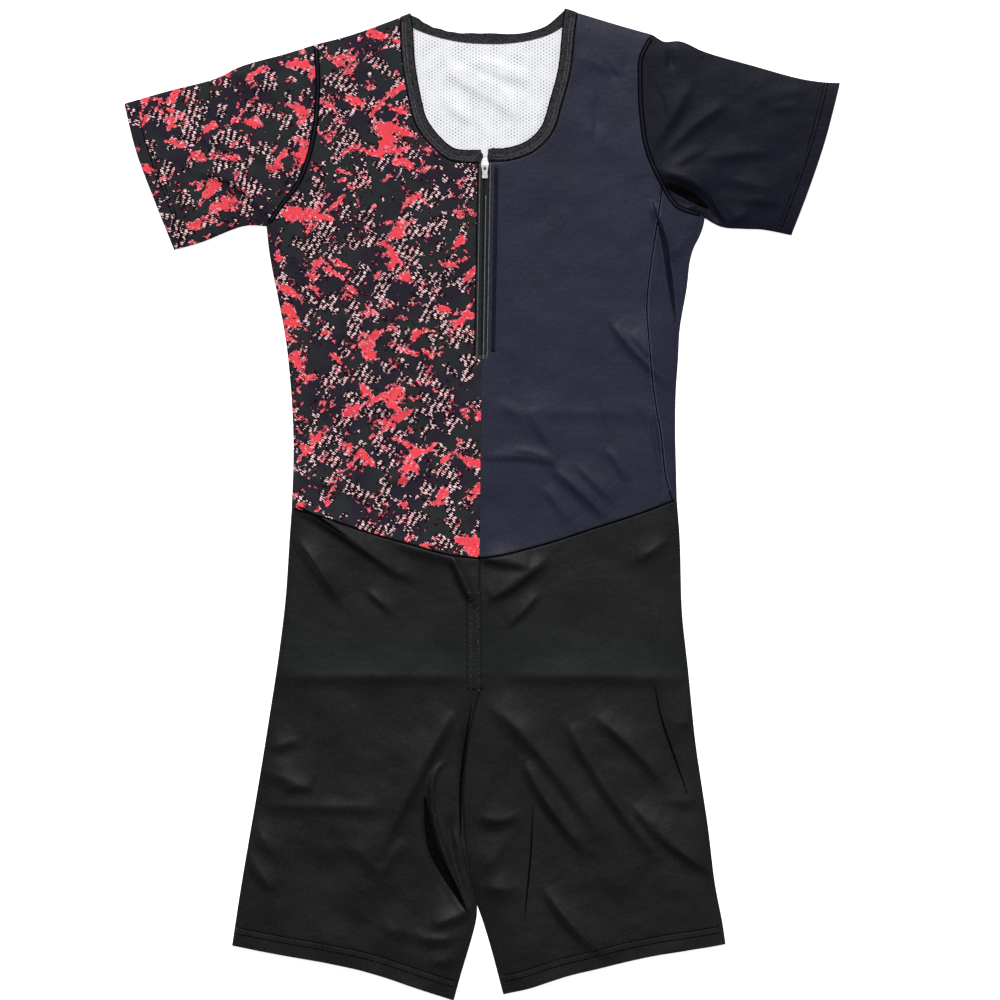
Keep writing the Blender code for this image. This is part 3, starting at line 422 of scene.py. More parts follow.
# A crease runs from start past bend to end: six numbers, then its half width and height.
# Soft is a round ridge or trough, sharp a pinched line, and fold a crest with a long slope
# on its left and a short steep one on its right, where the cloth drops into its own shade.
CREASES = {
    "fold": (
        # left side seam and underarm
        (168, 300, 178, 276, 184, 256, 3.6, 2.0), (183, 246, 195, 257, 209, 272, 3.4, 1.7),
        (196, 274, 203, 279, 211, 284, 2.4, 0.8), (128, 181, 150, 153, 186, 118, 3.4, 1.9),
        (146, 172, 158, 158, 171, 143, 3, 1.3),
        # left front, by the waist
        (68, 36, 92, 17, 124, -14, 4.2, 2.2), (93, 39, 114, 18, 130, 2, 3.2, 1.4),
        (121, 56, 134, 40, 144, 22, 3, 1.2), (60, 18, 72, 2, 86, -18, 3.6, 1.1),
        (-2, 47, 46, 47, 76, 37, 2.6, 1.3), (26, 54, 48, 52, 72, 43, 2, 0.8),
        (42, 94, 58, 73, 76, 44, 4.5, 1.0), (0, 94, 90, 93, 170, 92, 6, 0.6),
        (96, 448, 118, 438, 140, 434, 4, 0.6),
        # printed front
        (-110, 17, -80, 28, -50, 38, 4.5, 1.6), (-198, 248, -182, 240, -166, 216, 5, 1.4),
        (-180, 94, -96, 96, -8, 95, 6, 0.8), (-186, 38, -168, 25, -140, 19, 5, 1.2),
        (-150, 200, -120, 176, -84, 168, 6, 0.8),
        # right sleeve
        (-288, 331, -246, 319, -217, 284, 3.2, 2.8),
        (-238, 355, -212, 342, -190, 329, 3.8, 1.6),
        (-287, 377, -276, 362, -263, 350, 3.4, 1.8),
        (-247, 434, -234, 421, -221, 408, 3.4, 1.8),
        (-228, 440, -212, 420, -206, 398, 5, 0.8),
        (-306, 288, -286, 292, -262, 288, 6, 0.8),
        # left sleeve
        (166, 354, 189, 390, 205, 420, 4.5, 1.2), (180, 350, 211, 379, 241, 399, 3.4, 1.2),
        (182, 336, 200, 345, 218, 356, 3.4, 0.7), (222, 346, 256, 350, 290, 353, 4, 0.9),
        (236, 325, 262, 321, 288, 314, 4.5, 0.7), (270, 402, 295, 411, 322, 414, 5, 0.5),
        (286, 394, 300, 397, 315, 396, 3, 0.5), (256, 303, 276, 304, 294, 300, 4, 0.9),
        (174, 329, 202, 325, 229, 306, 3.8, 3.2), (244, 279, 253, 286, 264, 292, 3, 1.3),
        # waist of the shorts, right
        (-194, 2, -150, -23, -86, -70, 3.4, 4.0), (-188, -34, -166, -62, -144, -98, 4, 2.5),
        (-116, -87, -104, -97, -92, -109, 2.6, 1.4), (-90, -62, -76, -70, -60, -76, 6, 0.6),
        (-86, -40, -52, -49, -24, -58, 4.5, 1.5), (-33, -50, -21, -77, -11, -98, 3, 3.4),
        (-2, -54, 20, -57, 46, -62, 3.2, 3.0), (2, -96, 32, -77, 61, -55, 4.2, 3.4),
        (23, -121, 39, -106, 53, -89, 3, 1.5), (151, -55, 166, -47, 181, -35, 3.6, 1.4),
        # across both legs, where the suit was folded in its bag
        (-204, -173, -110, -171, -16, -172, 6, 1.2),
        (16, -172, 110, -171, 205, -174, 6, 1.2),
        (-222, -299, -160, -301, -90, -302, 6, 1.4), (-4, -311, 12, -315, 36, -309, 5, 2.0),
        # right leg
        (-112, -360, -66, -268, -30, -206, 5, 2.8),
        (-112, -378, -96, -356, -82, -334, 5, 1.2),
        (-220, -240, -204, -240, -186, -234, 4.5, 1.6),
        (-224, -264, -195, -275, -168, -283, 6, 1.6),
        (-201, -289, -188, -282, -170, -284, 3, 1.2),
        (-236, -312, -224, -330, -210, -350, 4.5, 1.8),
        (-236, -350, -224, -369, -209, -386, 4, 1.5),
        (-133, -341, -122, -350, -113, -360, 4.5, 0.9),
        (-54, -419, -32, -413, -13, -402, 4, 2.6),
        (-70, -431, -48, -434, -28, -431, 4.5, 2.4),
        (-56, -458, -42, -456, -26, -450, 4, 1.2),
        (-104, -423, -84, -426, -62, -427, 6, 1.0),
        # left leg
        (8, -202, 57, -249, 112, -325, 5.5, 2.7), (40, -256, 66, -302, 102, -346, 3.6, 3.0),
        (84, -218, 122, -284, 172, -350, 4.6, 2.9),
        (112, -212, 145, -240, 178, -276, 4.2, 2.4),
        (148, -298, 185, -337, 230, -368, 4, 3.4), (60, -383, 88, -420, 120, -450, 4, 2.6),
        (-2, -362, 10, -352, 20, -330, 4, 0.8), (0, -381, 16, -384, 32, -382, 4.5, 1.2),
        (184, -293, 198, -297, 214, -292, 4, 0.9),
        (194, -219, 204, -218, 212, -216, 3, 1.2),),
    "soft": (
        # left side seam and underarm
        (185, 258, 188, 220, 192, 182, 4.8, -2.6), (171, 274, 180, 238, 189, 188, 3.6, 1.0),
        (163, 196, 164, 150, 176, 60, 3, 0.4), (169, 84, 172, 62, 179, 16, 2.5, -1.4),
        (150, 92, 158, 76, 160, 50, 5, -0.5),
        # left front, by the waist
        (10, 100, 30, 92, 46, 66, 6, 0.4), (100, 380, 120, 360, 136, 352, 8, 0.4),
        (118, 444, 127, 432, 133, 424, 3, -0.6), (113, 412, 112, 386, 110, 362, 4, -0.5),
        (10, 335, 10, 240, 4, 150, 3, -0.5),
        # printed front
        (-188, 262, -170, 272, -150, 268, 7, 0.8),
        (-186, 120, -164, 108, -136, 110, 7, 0.5), (-66, 330, -58, 306, -40, 292, 7, -0.6),
        # right sleeve
        (-330, 350, -300, 346, -272, 354, 8, 0.6),
        # left sleeve
        (164, 425, 173, 410, 180, 384, 2.2, -0.8),
        (185, 454, 186, 444, 187, 434, 2.5, -1.6), (180, 313, 203, 306, 222, 297, 5, -2.6),
        (204, 295, 210, 300, 218, 305, 2.6, 1.1), (222, 300, 226, 290, 236, 280, 4, -2.8),
        (227, 308, 235, 292, 244, 278, 2, 1.4),
        # waist of the shorts, right
        (173, -101, 170, -130, 168, -158, 2.5, 0.6),
        # right leg
        (-30, -206, -24, -240, -24, -266, 3.5, 0.8),
        (-56, -290, -48, -352, -18, -408, 6, -3.6),
        (-40, -258, -52, -306, -16, -408, 2.2, 2.6),
        (-32, -312, -33, -344, -16, -398, 2.4, -2.2),
        (-30, -328, -22, -352, -9, -398, 2.2, 1.4),
        (-13, -200, -20, -244, -24, -300, 3, -2.6),
        (-172, -356, -150, -346, -118, -340, 10, 0.5),
        # left leg
        (28, -226, 27, -262, 25, -290, 3, -0.7),
        (170, -184, 176, -210, 203, -289, 3.2, -0.8),),
    "sharp": (
        (112, 140, 119, 96, 142, 28, 3, 0.4),),
}
BACK_CREASES = {
    "soft": (
        (-58, 452, -20, 428, 30, 400, 9, 0.7), (-30, 456, 14, 436, 62, 424, 8, 0.6),
        (-60, 420, -40, 400, -10, 378, 8, 0.5), (4, 420, 24, 398, 36, 376, 7, 0.4),),
}


def nearest(path, points):
    """Distance from points to a line of points, its side, and the share of the line."""
    best = np.full(len(points), 1e9)
    share, side = np.zeros(len(points)), np.zeros(len(points))
    for index in range(len(path) - 1):
        start, along = path[index], path[index + 1] - path[index]
        away = points - start
        t = np.clip(away @ along / max(along @ along, 1e-9), 0, 1)
        off = away - t[:, None] * along
        distance = np.hypot(off[:, 0], off[:, 1])
        closer = distance < best
        best[closer] = distance[closer]
        share[closer] = (index + t[closer]) / (len(path) - 1)
        side[closer] = np.sign(along[0] * off[:, 1] - along[1] * off[:, 0])[closer]
    return best, side, share


def paths(names, count, lines=()):
    return [line(steps(count)) for line in
            (*(getattr(half, name) for half in HALVES for name in names), *lines)]


FOLD_PATHS = paths(("side", "shoulder", "sleeve_top", "sleeve_under", "leg_out",
                    "leg_touch", "leg_end"), 60)
SEAM_PATHS = paths(("armhole", "waist", "neck_seam"), 80, [LEFT.seam])
RISE_PATH = np.array(RISE, float)
ZIP_PATH = np.array((ZIP_BOTTOM, ZIP_TOP, (0.0, 355.0)), float)


def fade(x):
    """From 1 to 0 as x passes zero, softly."""
    return 0.5 - 0.5 * np.tanh(x / 2)


def bend_line(places):
    """Points along a crease, a quadratic curve through its three places."""
    start, bend, end = np.reshape(places, (3, 2)).astype(float)
    control = bend * 2 - (start + end) / 2
    t = steps(10)[:, None]
    return start * (1 - t) ** 2 + control * 2 * t * (1 - t) + end * t ** 2


def crease_height(points, creases):
    """Sum of the creases' heights at points."""
    total = np.zeros(len(points))
    for profile, rows in creases.items():
        folded = profile == "fold"
        for *places, half_width, height in rows:
            path, width = bend_line(places), half_width * (FOLD_WIDTH if folded else 1)
            reach = (7.5 if folded else 3.2) * width
            low, high = path.min(axis=0) - reach, path.max(axis=0) + reach
            near = np.flatnonzero(((points > low) & (points < high)).all(axis=1))
            if not len(near):
                continue
            distance, side, share = nearest(path, points[near])
            away = distance / width
            shape = {"soft": lambda: np.exp(-away ** 2),
                     "sharp": lambda: np.exp(-1.6 * away),
                     "fold": lambda: np.where(side > 0, np.exp(-away / LONG_SLOPE),
                                              np.exp(-(away / SHORT_SLOPE) ** 2))}
            ends = np.sin(np.pi * np.clip(share, 0.02, 0.98)) ** 0.6
            strength = FOLD_STRENGTH if height > 0 else TROUGH_STRENGTH
            total[near] += height * strength * ends * shape[profile]()
    return total


def clouds(points, cell, seed):
    """Smooth random heights from -1 to 1, on a turned lattice of that cell."""
    lattice = np.random.default_rng(seed).uniform(-1, 1, (64, 64))
    cos, sin = math.cos(seed), math.sin(seed)
    turned = np.column_stack([points[:, 0] * cos - points[:, 1] * sin,
                              points[:, 0] * sin + points[:, 1] * cos]) / cell
    corner = np.floor(turned).astype(int)
    part = turned - corner
    x, y = (part * part * (3 - 2 * part)).T
    i, j = corner.T % 64
    near = lattice[i, j] * (1 - x) + lattice[(i + 1) % 64, j] * x
    far = lattice[i, (j + 1) % 64] * (1 - x) + lattice[(i + 1) % 64, (j + 1) % 64] * x
    return near * (1 - y) + far * y


def lift(points):
    """How far the upper layer stands above its height at the side folds."""
    edge = np.min([nearest(path, points)[0] for path in FOLD_PATHS], axis=0)
    loose = 1 - np.exp(-(nearest(ZIP_PATH, points)[0] / LOOSE_REACH) ** 2)
    slack = 1 + LEG_SLACK * fade((points[:, 1] - LEG_SLACK_FROM) / LEG_SLACK_OVER)
    height = (CROWN + LOOSE_CROWN * loose) * (1 - np.exp(-edge / CROWN_REACH))
    creased = crease_height(points, CREASES)
    for cell, size, seed in UNEVEN:
        creased += size * slack * (0.25 + 0.75 * loose) * clouds(points, cell, seed)
    height += creased * (1 - np.exp(-edge / CREASE_REACH))
    for name, depth in (("hem", sizes().leg_hem), ("cuff", sizes().sleeve_hem)):
        for half in HALVES:
            hem = getattr(half, name)
            away, _, share = nearest(hem(steps(60)), points)
            past = away - mm(depth)
            pucker = np.sin(2 * np.pi * (share * hem.length + 0.9 * away) / PUCKER_PITCH)
            height += fade(past / 0.5) * (HEM_STEP
                                          + HEM_PUCKER * pucker * clouds(points, 13, 5))
            height -= HEM_GROOVE * np.exp(-past ** 2)
    height = LEAST_LIFT + np.logaddexp(0, (height - LEAST_LIFT) / LIFT_ROUND) * LIFT_ROUND
    return MOST_LIFT - np.logaddexp(0, (MOST_LIFT - height) / LIFT_ROUND) * LIFT_ROUND


def seam_dip(points):
    """How far the cloth rolls down beside its seams."""
    away = np.min([nearest(path, points)[0] for path in SEAM_PATHS], axis=0)
    return (SEAM_DIP * np.exp(-(away / SEAM_DIP_REACH) ** 2)
            + RISE_DIP * np.exp(-nearest(RISE_PATH, points)[0] ** 2))


# Each of these gives points on the middle of the cloth, and the way through it, outwards.
def layer(points, height, up):
    way = np.zeros((len(points), 3))
    way[:, 2] = up
    return np.column_stack([points, height + np.zeros(len(points))]), way


def on_top(points, extra=0.0):
    """Points of the plane put on the upper layer."""
    return layer(points, UPPER + lift(points) - seam_dip(points) + extra, 1.0)


def below(points, extra=0.0):
    """Points of the plane put on the lower layer."""
    return layer(points, LOWER + extra, -1.0)


def below_in_neck(points):
    """The lower layer with its waves, only where it shows inside the neck."""
    middle, *half_sizes = NECK_WINDOW
    far = np.hypot(*((points - middle) / half_sizes).T)
    waves = BACK_WAVES * crease_height(points, BACK_CREASES) * fade((far - 0.95) / 0.07)
    return below(points, np.clip(waves, 0, BACK_MOST))


def round_fold(points, outward, share, extra=0.0):
    """Points on a side fold: share 0 joins the upper layer and 1 the lower one."""
    turn = np.pi * share
    way = np.column_stack([outward * np.sin(turn)[:, None], np.cos(turn)])
    raised = extra + (lift(points) - seam_dip(points)) * (1 + np.cos(turn)) / 2
    middle = np.column_stack([points, (UPPER + LOWER) / 2 + raised])
    return middle + way * FOLD_RADIUS, way


def fold_place(line, hand, at_start=None, at_end=None):
    """place(t, share) round the fold along a line, with its end vectors if given."""
    def place(t, share):
        outward = line.normal(t, hand)
        for end, vector in ((0.0, at_start), (1.0, at_end)):
            if vector is not None:
                near = np.clip(1 - np.abs(t - end) * line.length / 3, 0, 1)[:, None]
                outward = outward * (1 - near) + vector * near
        return round_fold(line(t), outward, share)
    return place


def laid(put, place):
    return lambda u, v: put(place(u, v))


FOLD_SHARES = steps(7)


# ------------------------------------------------------------ pieces
def new_piece(name, bm, slot, *finishes):
    """A piece of the suit from a mesh in the pattern's millimetres."""
    mesh = bpy.data.meshes.new(name)
    bm.to_mesh(mesh)
    bm.free()
    mesh.transform(Matrix.Scale(MM, 4) @ Matrix.Translation(ORIGIN_SHIFT))
    for finish in finishes:
        mesh.materials.append(material(finish))
    mesh.shade_smooth()
    piece = bpy.data.objects.new(name, mesh)
    bpy.context.scene.collection.objects.link(piece)
    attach(piece, "suit")
    return piece


def add_patch(bm, us, vs, place):
    """A grid with a point for each pair of steps, moved to place(u, v)."""
    way = bm.verts.layers.float_vector["through"]
    cells = np.array([len(us) - 1, len(vs) - 1])
    grid = bmesh.ops.create_grid(bm, x_segments=cells[0], y_segments=cells[1], size=1)
    at = np.array([vert.co[:2] for vert in grid["verts"]])
    column, row = np.rint((at + 1) / 2 * cells).astype(int).T
    points, ways = place(np.asarray(us)[column], np.asarray(vs)[row])
    for vert, point, through in zip(grid["verts"], points.tolist(), ways.tolist()):
        vert.co = point
        vert[way] = through


def cloth_wall(patches, thickness, inner_material=0):
    """The grids joined where they meet, made a closed wall, half of it to each side."""
    bm = bmesh.new()
    way = bm.verts.layers.float_vector.new("through")
    for us, vs, place in patches:
        add_patch(bm, us, vs, place)
    bmesh.ops.remove_doubles(bm, verts=bm.verts, dist=0.03)
    copies = bmesh.ops.extrude_face_region(bm, geom=bm.faces[:])["geom"]
    inner = {item for item in copies if isinstance(item, bmesh.types.BMVert)}
    for vert in bm.verts:
        vert.co += vert[way] * ((-1 if vert in inner else 1) * thickness / 2)
    for face in bm.faces:
        if inner.issuperset(face.verts):
            face.material_index = inner_material
    bmesh.ops.recalc_face_normals(bm, faces=bm.faces)
    return bm


def panel(name, patches, finishes, node, slot, thickness=None):
    """One cloth panel that stands for its solid."""
    bm = cloth_wall(patches, thickness or mm(sizes().cloth), len(finishes) - 1)
    piece = new_piece(name, bm, slot, *finishes)
    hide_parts(node)


# ------------------------------------------------------------ materials
def add(tree, kind, inputs=(), **settings):
    """Add a node with its settings; an input takes a value or another node's output."""
    node = tree.nodes.new("ShaderNode" + kind)
    for key, value in settings.items():
        setattr(node, key, value)
    for key, value in inputs.items() if isinstance(inputs, dict) else enumerate(inputs):
        if isinstance(value, bpy.types.NodeSocket):
            tree.links.new(value, node.inputs[key])
        elif node.inputs[key].type == "RGBA":
            node.inputs[key].default_value = (*value, 1.0)
        else:
            node.inputs[key].default_value = value
    return node.outputs.get("Fac") or next(out for out in node.outputs if out.enabled)


def start_material(name, **inputs):
    """A material with one Principled shader, and that shader."""
    material = bpy.data.materials.new(name)
    material.use_nodes = True
    shader = material.node_tree.nodes["Principled BSDF"]
    for key, value in inputs.items():
        shader.inputs[key.replace("_", " ")].default_value = value
    return material, shader


def in_mm(tree, turn=0.0, move=(0.0, 0.0, 0.0), stretch_by=(1.0, 1.0, 1.0)):
    """Object coordinates in millimetres, turned by degrees, moved and stretched."""
    return add(tree, "Mapping", {
        "Vector": add(tree, "TexCoord").node.outputs["Object"], "Location": move,
        "Rotation": (0, 0, math.radians(turn)),
        "Scale": [size / MM for size in stretch_by]})


WAVE_PERIOD = 2 * math.pi / 20      # length of one wave of the Wave texture at scale 1


def knit_relief(tree, course, wale, depth, wrinkle=0.25, wrinkle_size=22.0):
    """Loops of the knit, drawn at least a millimetre apart so that they show, and the
    small unevenness of cloth that was washed and folded."""
    place = in_mm(tree)
    loops = add(tree, "Math", [
        add(tree, "TexWave", {"Vector": place, "Scale": WAVE_PERIOD / pitch,
                              "Distortion": 0.6, "Detail": 1.0}, bands_direction=bands)
        for pitch, bands in ((wale, "X"), (course, "Y"))], operation="MULTIPLY")
    soft = add(tree, "TexNoise", {"Vector": place, "Scale": 1 / wrinkle_size,
                                  "Detail": 3.0, "Roughness": 0.55})
    wrinkled = add(tree, "Bump", {"Height": soft, "Distance": wrinkle * MM * 8,
                                  "Strength": 0.5})
    return add(tree, "Bump", {"Height": loops, "Distance": depth * MM, "Strength": 0.7,
                              "Normal": wrinkled})


def ribbed(tree, turn, pitch, depth, strength=1.0, distortion=0.0, bands="X"):
    """Slanting ribs of a weave, a seam or a twisted thread."""
    ribs = add(tree, "TexWave", {"Vector": in_mm(tree, turn), "Scale": WAVE_PERIOD / pitch,
                                 "Distortion": distortion}, bands_direction=bands)
    return add(tree, "Bump", {"Height": ribs, "Distance": depth * MM,
                              "Strength": strength})


def scaled(rgb, factor):
    return tuple(min(channel * factor, 1.0) for channel in rgb)


def mottled(tree, rgb, low, high, size):
    """Two depths of a colour, mixed by soft clouds of the given size in millimetres."""
    noise = add(tree, "TexNoise", {"Vector": in_mm(tree), "Scale": 1 / size,
                                   "Detail": 3.0})
    share = add(tree, "MapRange", (noise, 0.35, 0.65))
    return add(tree, "Mix", {"Factor": share, "A": scaled(rgb, low),
                             "B": scaled(rgb, high)}, data_type="RGBA")


def grained(tree, base, size, amount):
    """The same colour with an uneven grain of the given size in millimetres."""
    noise = add(tree, "TexNoise", {"Vector": in_mm(tree), "Scale": 1 / size,
                                   "Detail": 2.0})
    level = add(tree, "MapRange", (noise, 0.3, 0.7, 1 - amount, 1 + amount))
    return add(tree, "VectorMath", {0: base, "Scale": level}, operation="SCALE")


BLOT_AT = 0.69                               # the clouds' height where the coral begins
BLOT_CLOUDS = ((28, 30.0, 12.5), (-38, 27.0, 12.0))       # lean in degrees, length, width
# Lean, length and width of a stroke, how far its kind frays out beside the blots, and the
# height of its own clouds. The first two are pink splinters, the last the pale dashes.
STROKES = ((37, 6.2, 1.5, 0.060, 0.66), (-44, 5.4, 1.5, 0.055, 0.66),
           (31, 5.5, 1.9, 0.035, 0.535))


def printed_knit(tree, move, turn):
    """Polyester jersey with a dye-sublimated splatter: flat ink with crisp edges, because
    the dye is in the fibres and not on them. The cloth stays matt."""
    ink = colours()
    flat = in_mm(tree, turn, move)
    # ragged edges: the place is pushed about, also in straight-sided shards, which gives
    # the blots their corners
    coarse = add(tree, "TexNoise", {"Vector": flat, "Scale": 1 / 8.0, "Detail": 2.0})
    shards = add(tree, "TexVoronoi", {"Vector": flat, "Scale": 1 / 6.0},
                 voronoi_dimensions="2D")
    fine = add(tree, "TexNoise", {"Vector": flat, "Scale": 1 / 1.6, "Detail": 0.0})
    place = flat
    for push, size in ((coarse, 5.0), (shards, 3.5), (fine, 0.8)):
        centred = add(tree, "VectorMath", (push.node.outputs["Color"], (0.5, 0.5, 0.5)),
                      operation="SUBTRACT")
        moved = add(tree, "VectorMath", {0: centred, "Scale": size}, operation="SCALE")
        place = add(tree, "VectorMath", (place, moved), operation="ADD")

    # blots with pointed ends: the higher of two clouds that are drawn out both ways
    clouds = []
    for lean, long, wide in BLOT_CLOUDS:
        turned = add(tree, "VectorRotate", {"Vector": place, "Angle": math.radians(lean)},
                     rotation_type="Z_AXIS")
        drawn = add(tree, "VectorMath", (turned, (1 / long, 1 / wide, 1 / wide)),
                    operation="MULTIPLY")
        clouds.append(add(tree, "TexNoise", {"Vector": drawn, "Scale": 1.0, "Detail": 0.7,
                                             "Roughness": 0.5}))
    inked = add(tree, "Math", clouds, operation="MAXIMUM")
    blot = add(tree, "MapRange", (inked, BLOT_AT - 0.003, BLOT_AT + 0.003))
    dark = add(tree, "MapRange", (inked, BLOT_AT - 0.035, BLOT_AT - 0.015, 0.0, 0.85))
    # splinters lean both ways beside the blots; rows of dashes lie in clouds of their own
    near = add(tree, "TexNoise", {"Vector": flat, "Scale": 1 / 4.0, "Detail": 1.0})
    strokes = []
    for lean, long, wide, frayed, loose in STROKES:
        slanted = in_mm(tree, turn + lean, (long * 50.0, 0.0, 0.0))
        rows = add(tree, "Mapping", {"Vector": slanted, "Scale": (1 / long, 1 / wide, 1.0)})
        cell = add(tree, "TexVoronoi", {"Vector": rows, "Scale": 1.0, "Randomness": 0.4},
                   voronoi_dimensions="2D")
        reach = add(tree, "MapRange", (near, 0.36, 0.62, 0.12, 0.38))
        inside = add(tree, "Math", (reach, cell), operation="SUBTRACT")
        stroke = add(tree, "MapRange", (inside, -0.03, 0.03))
        apart = add(tree, "TexNoise", {"Vector": slanted, "Scale": 1 / 13.0,
                                       "Detail": 2.0})
        beside = add(tree, "Math", (inked, loose - BLOT_AT + frayed), operation="ADD")
        where = add(tree, "Math", (apart, beside), operation="MAXIMUM")
        zone = add(tree, "MapRange", (where, loose, loose + 0.01))
        ground = add(tree, "MapRange", (where, loose - 0.02, loose, 0.0, 0.8))
        dark = add(tree, "Math", (dark, ground), operation="MAXIMUM")
        strokes.append(add(tree, "Math", (stroke, zone), operation="MULTIPLY"))
    splinters = add(tree, "Math", strokes[:2], operation="MAXIMUM")
    # dark pricks in slanting rows inside the blots
    pricks = add(tree, "TexVoronoi", {"Vector": flat, "Scale": 1 / 2.3,
                                      "Randomness": 0.6}, voronoi_dimensions="2D")
    pricked = add(tree, "Math", (add(tree, "MapRange", (pricks, 0.30, 0.22)),
                                 add(tree, "MapRange", (coarse, 0.52, 0.56))),
                  operation="MULTIPLY")
    whole = add(tree, "Math", (1.0, pricked), operation="SUBTRACT")
    blots = add(tree, "Math", (blot, whole), operation="MULTIPLY")

    patches = add(tree, "TexNoise", {"Vector": flat, "Scale": 1 / 34.0, "Detail": 2.0})
    layers = ink.charcoal
    for mask, tint in ((add(tree, "MapRange", (patches, 0.44, 0.56)), ink.plum),
                       (dark, ink.print_black), (strokes[2], ink.speckle),
                       (splinters, ink.pink), (blots, ink.coral)):
        layers = add(tree, "Mix", {"Factor": mask, "A": layers, "B": tint},
                     data_type="RGBA")
    return layers, knit_relief(tree, 1.3, 1.1, 0.05)


def shaded_below(tree, base, tint, mask, top, bottom, most):
    """The tint laid on by a mask, and more from top to bottom of a stretch of the suit."""
    level = add(tree, "SeparateXYZ", (in_mm(tree),)).node.outputs["Y"]
    fading = add(tree, "MapRange", (level, top, bottom, 0.0, most))
    share = add(tree, "Math", (mask(level), fading), operation="MULTIPLY")
    return add(tree, "Mix", {"Factor": share, "A": base, "B": tint}, data_type="RGBA")


def navy_knit(tree, rgb, eyelets):
    """Smooth polyester jersey, dyed navy: nearly black, with a cool haze where the light
    grazes its loops. The lower front is knitted with small slanting eyelets."""
    base = grained(tree, mottled(tree, rgb, 0.92, 1.08, 46.0), 1.7, 0.22)
    if eyelets:
        eyes = add(tree, "TexVoronoi", {"Vector": in_mm(tree, 32), "Scale": 1 / 2.3,
                                        "Randomness": 0.15}, voronoi_dimensions="2D")
        eye = add(tree, "MapRange", (eyes, 0.36, 0.2))
        base = shaded_below(tree, base, scaled(rgb, 0.45), lambda level: eye,
                            150.0, 40.0, 0.55)
    return base, knit_relief(tree, 1.2, 1.0, 0.05)


BAG_FOLD = -172.0                            # where the legs were folded in their bag, mm


def satin_knit(tree):
    """Warp-knitted polyester and elastane: a tight satin face that gives soft, broad
    highlights along every fold. Above the line of its bag fold it is painted paler, a
    painted sheen."""
    rgb = colours().satin
    base = grained(tree, mottled(tree, rgb, 0.8, 1.25, 52.0), 1.9, 0.4)
    # Painted sheen: a paler tint that grows from y -60 to y -150 and ends at the bag fold.
    base = shaded_below(
        tree, base, (rgb[0] * 1.5, rgb[1] * 2.1, rgb[2] * 1.8),
        lambda level: add(tree, "MapRange", (level, BAG_FOLD, BAG_FOLD + 4.0)),
        -60.0, -150.0, 0.35)
    return base, knit_relief(tree, 1.6, 0.9, 0.04, 0.3, 26.0)


MESH_PITCH = 3.4                             # from one hole of the mesh knit to the next


def mesh_knit(tree):
    """White eyelet mesh: rows of small holes set like a honeycomb, through which the dark
    outer side shows as soft grey dots."""
    ink, lattice, wide = colours(), [], MESH_PITCH * math.sqrt(3)
    for move in ((0.0, 0.0, 0.0), (0.5, 0.5, 0.0)):
        place = in_mm(tree, 0.0, move, (1 / wide, 1 / MESH_PITCH, 0.0))
        cells = add(tree, "VectorMath", (place,), operation="FRACTION")
        centred = add(tree, "VectorMath", (cells, (0.5, 0.5, 0.0)), operation="SUBTRACT")
        real = add(tree, "VectorMath", (centred, (wide, MESH_PITCH, 0.0)),
                   operation="MULTIPLY")
        lattice.append(add(tree, "VectorMath", (real,), operation="LENGTH"))
    distance = add(tree, "Math", lattice, operation="MINIMUM")
    hole = add(tree, "MapRange", (distance, 1.05, 0.35))
    uneven = add(tree, "TexNoise", {"Vector": in_mm(tree), "Scale": 1 / 14.0,
                                    "Detail": 2.0})
    strength = add(tree, "MapRange", (uneven, 0.36, 0.66, 0.25))
    share = add(tree, "Math", (hole, strength), operation="MULTIPLY")
    base = add(tree, "Mix", {"Factor": share, "A": ink.mesh_white, "B": ink.mesh_dot},
               data_type="RGBA")
    return base, add(tree, "Bump", {"Height": hole, "Distance": 0.25 * MM,
                                    "Strength": 0.6}, invert=True)


def binding_knit(tree):
    """Folded elastic binding: a matt rib, a little fuzzy at its edges."""
    return (mottled(tree, colours().binding, 0.45, 1.7, 2.2),
            knit_relief(tree, 1.4, 1.4, 0.12, 0.1, 6.0))


def tape_weave(tree):
    """Woven polyester zip tape: a fine herringbone that reads as short slanting ribs."""
    return (mottled(tree, colours().tape, 0.7, 1.5, 2.0),
            ribbed(tree, 35, 1.1, 0.12, 0.7, 0.4, "Y"))


def sewing_thread(tree, rgb):
    """Textured polyester thread: bulky, slightly shiny, twisted."""
    return mottled(tree, rgb, 0.75, 1.5, 1.6), ribbed(tree, 45, 0.5, 0.05)


def seam_tape(tree):
    """Flatlock seam in black woolly nylon: it swallows light and reads as a dark line.
    The same black is the painted shade in deep pinches, gaps and under the pull tab's eye.
    """
    return mottled(tree, colours().seam, 0.6, 2.0, 2.0), ribbed(tree, 45, 1.2, 0.1)


def nickel_plate(tree):
    """Cast zinc with nickel plate: bright, with fine scratches where the slider rubs."""
    scratches = add(tree, "TexNoise", {"Vector": in_mm(tree, stretch_by=(6.0, 0.5, 3.0)),
                                       "Scale": 1.2, "Detail": 4.0})
    return (mottled(tree, colours().metal, 0.86, 1.0, 3.0),
            add(tree, "Bump", {"Height": scratches, "Distance": 0.02 * MM,
                               "Strength": 0.4}),
            add(tree, "MapRange", (scratches, 0.3, 0.7, 0.28, 0.46)))


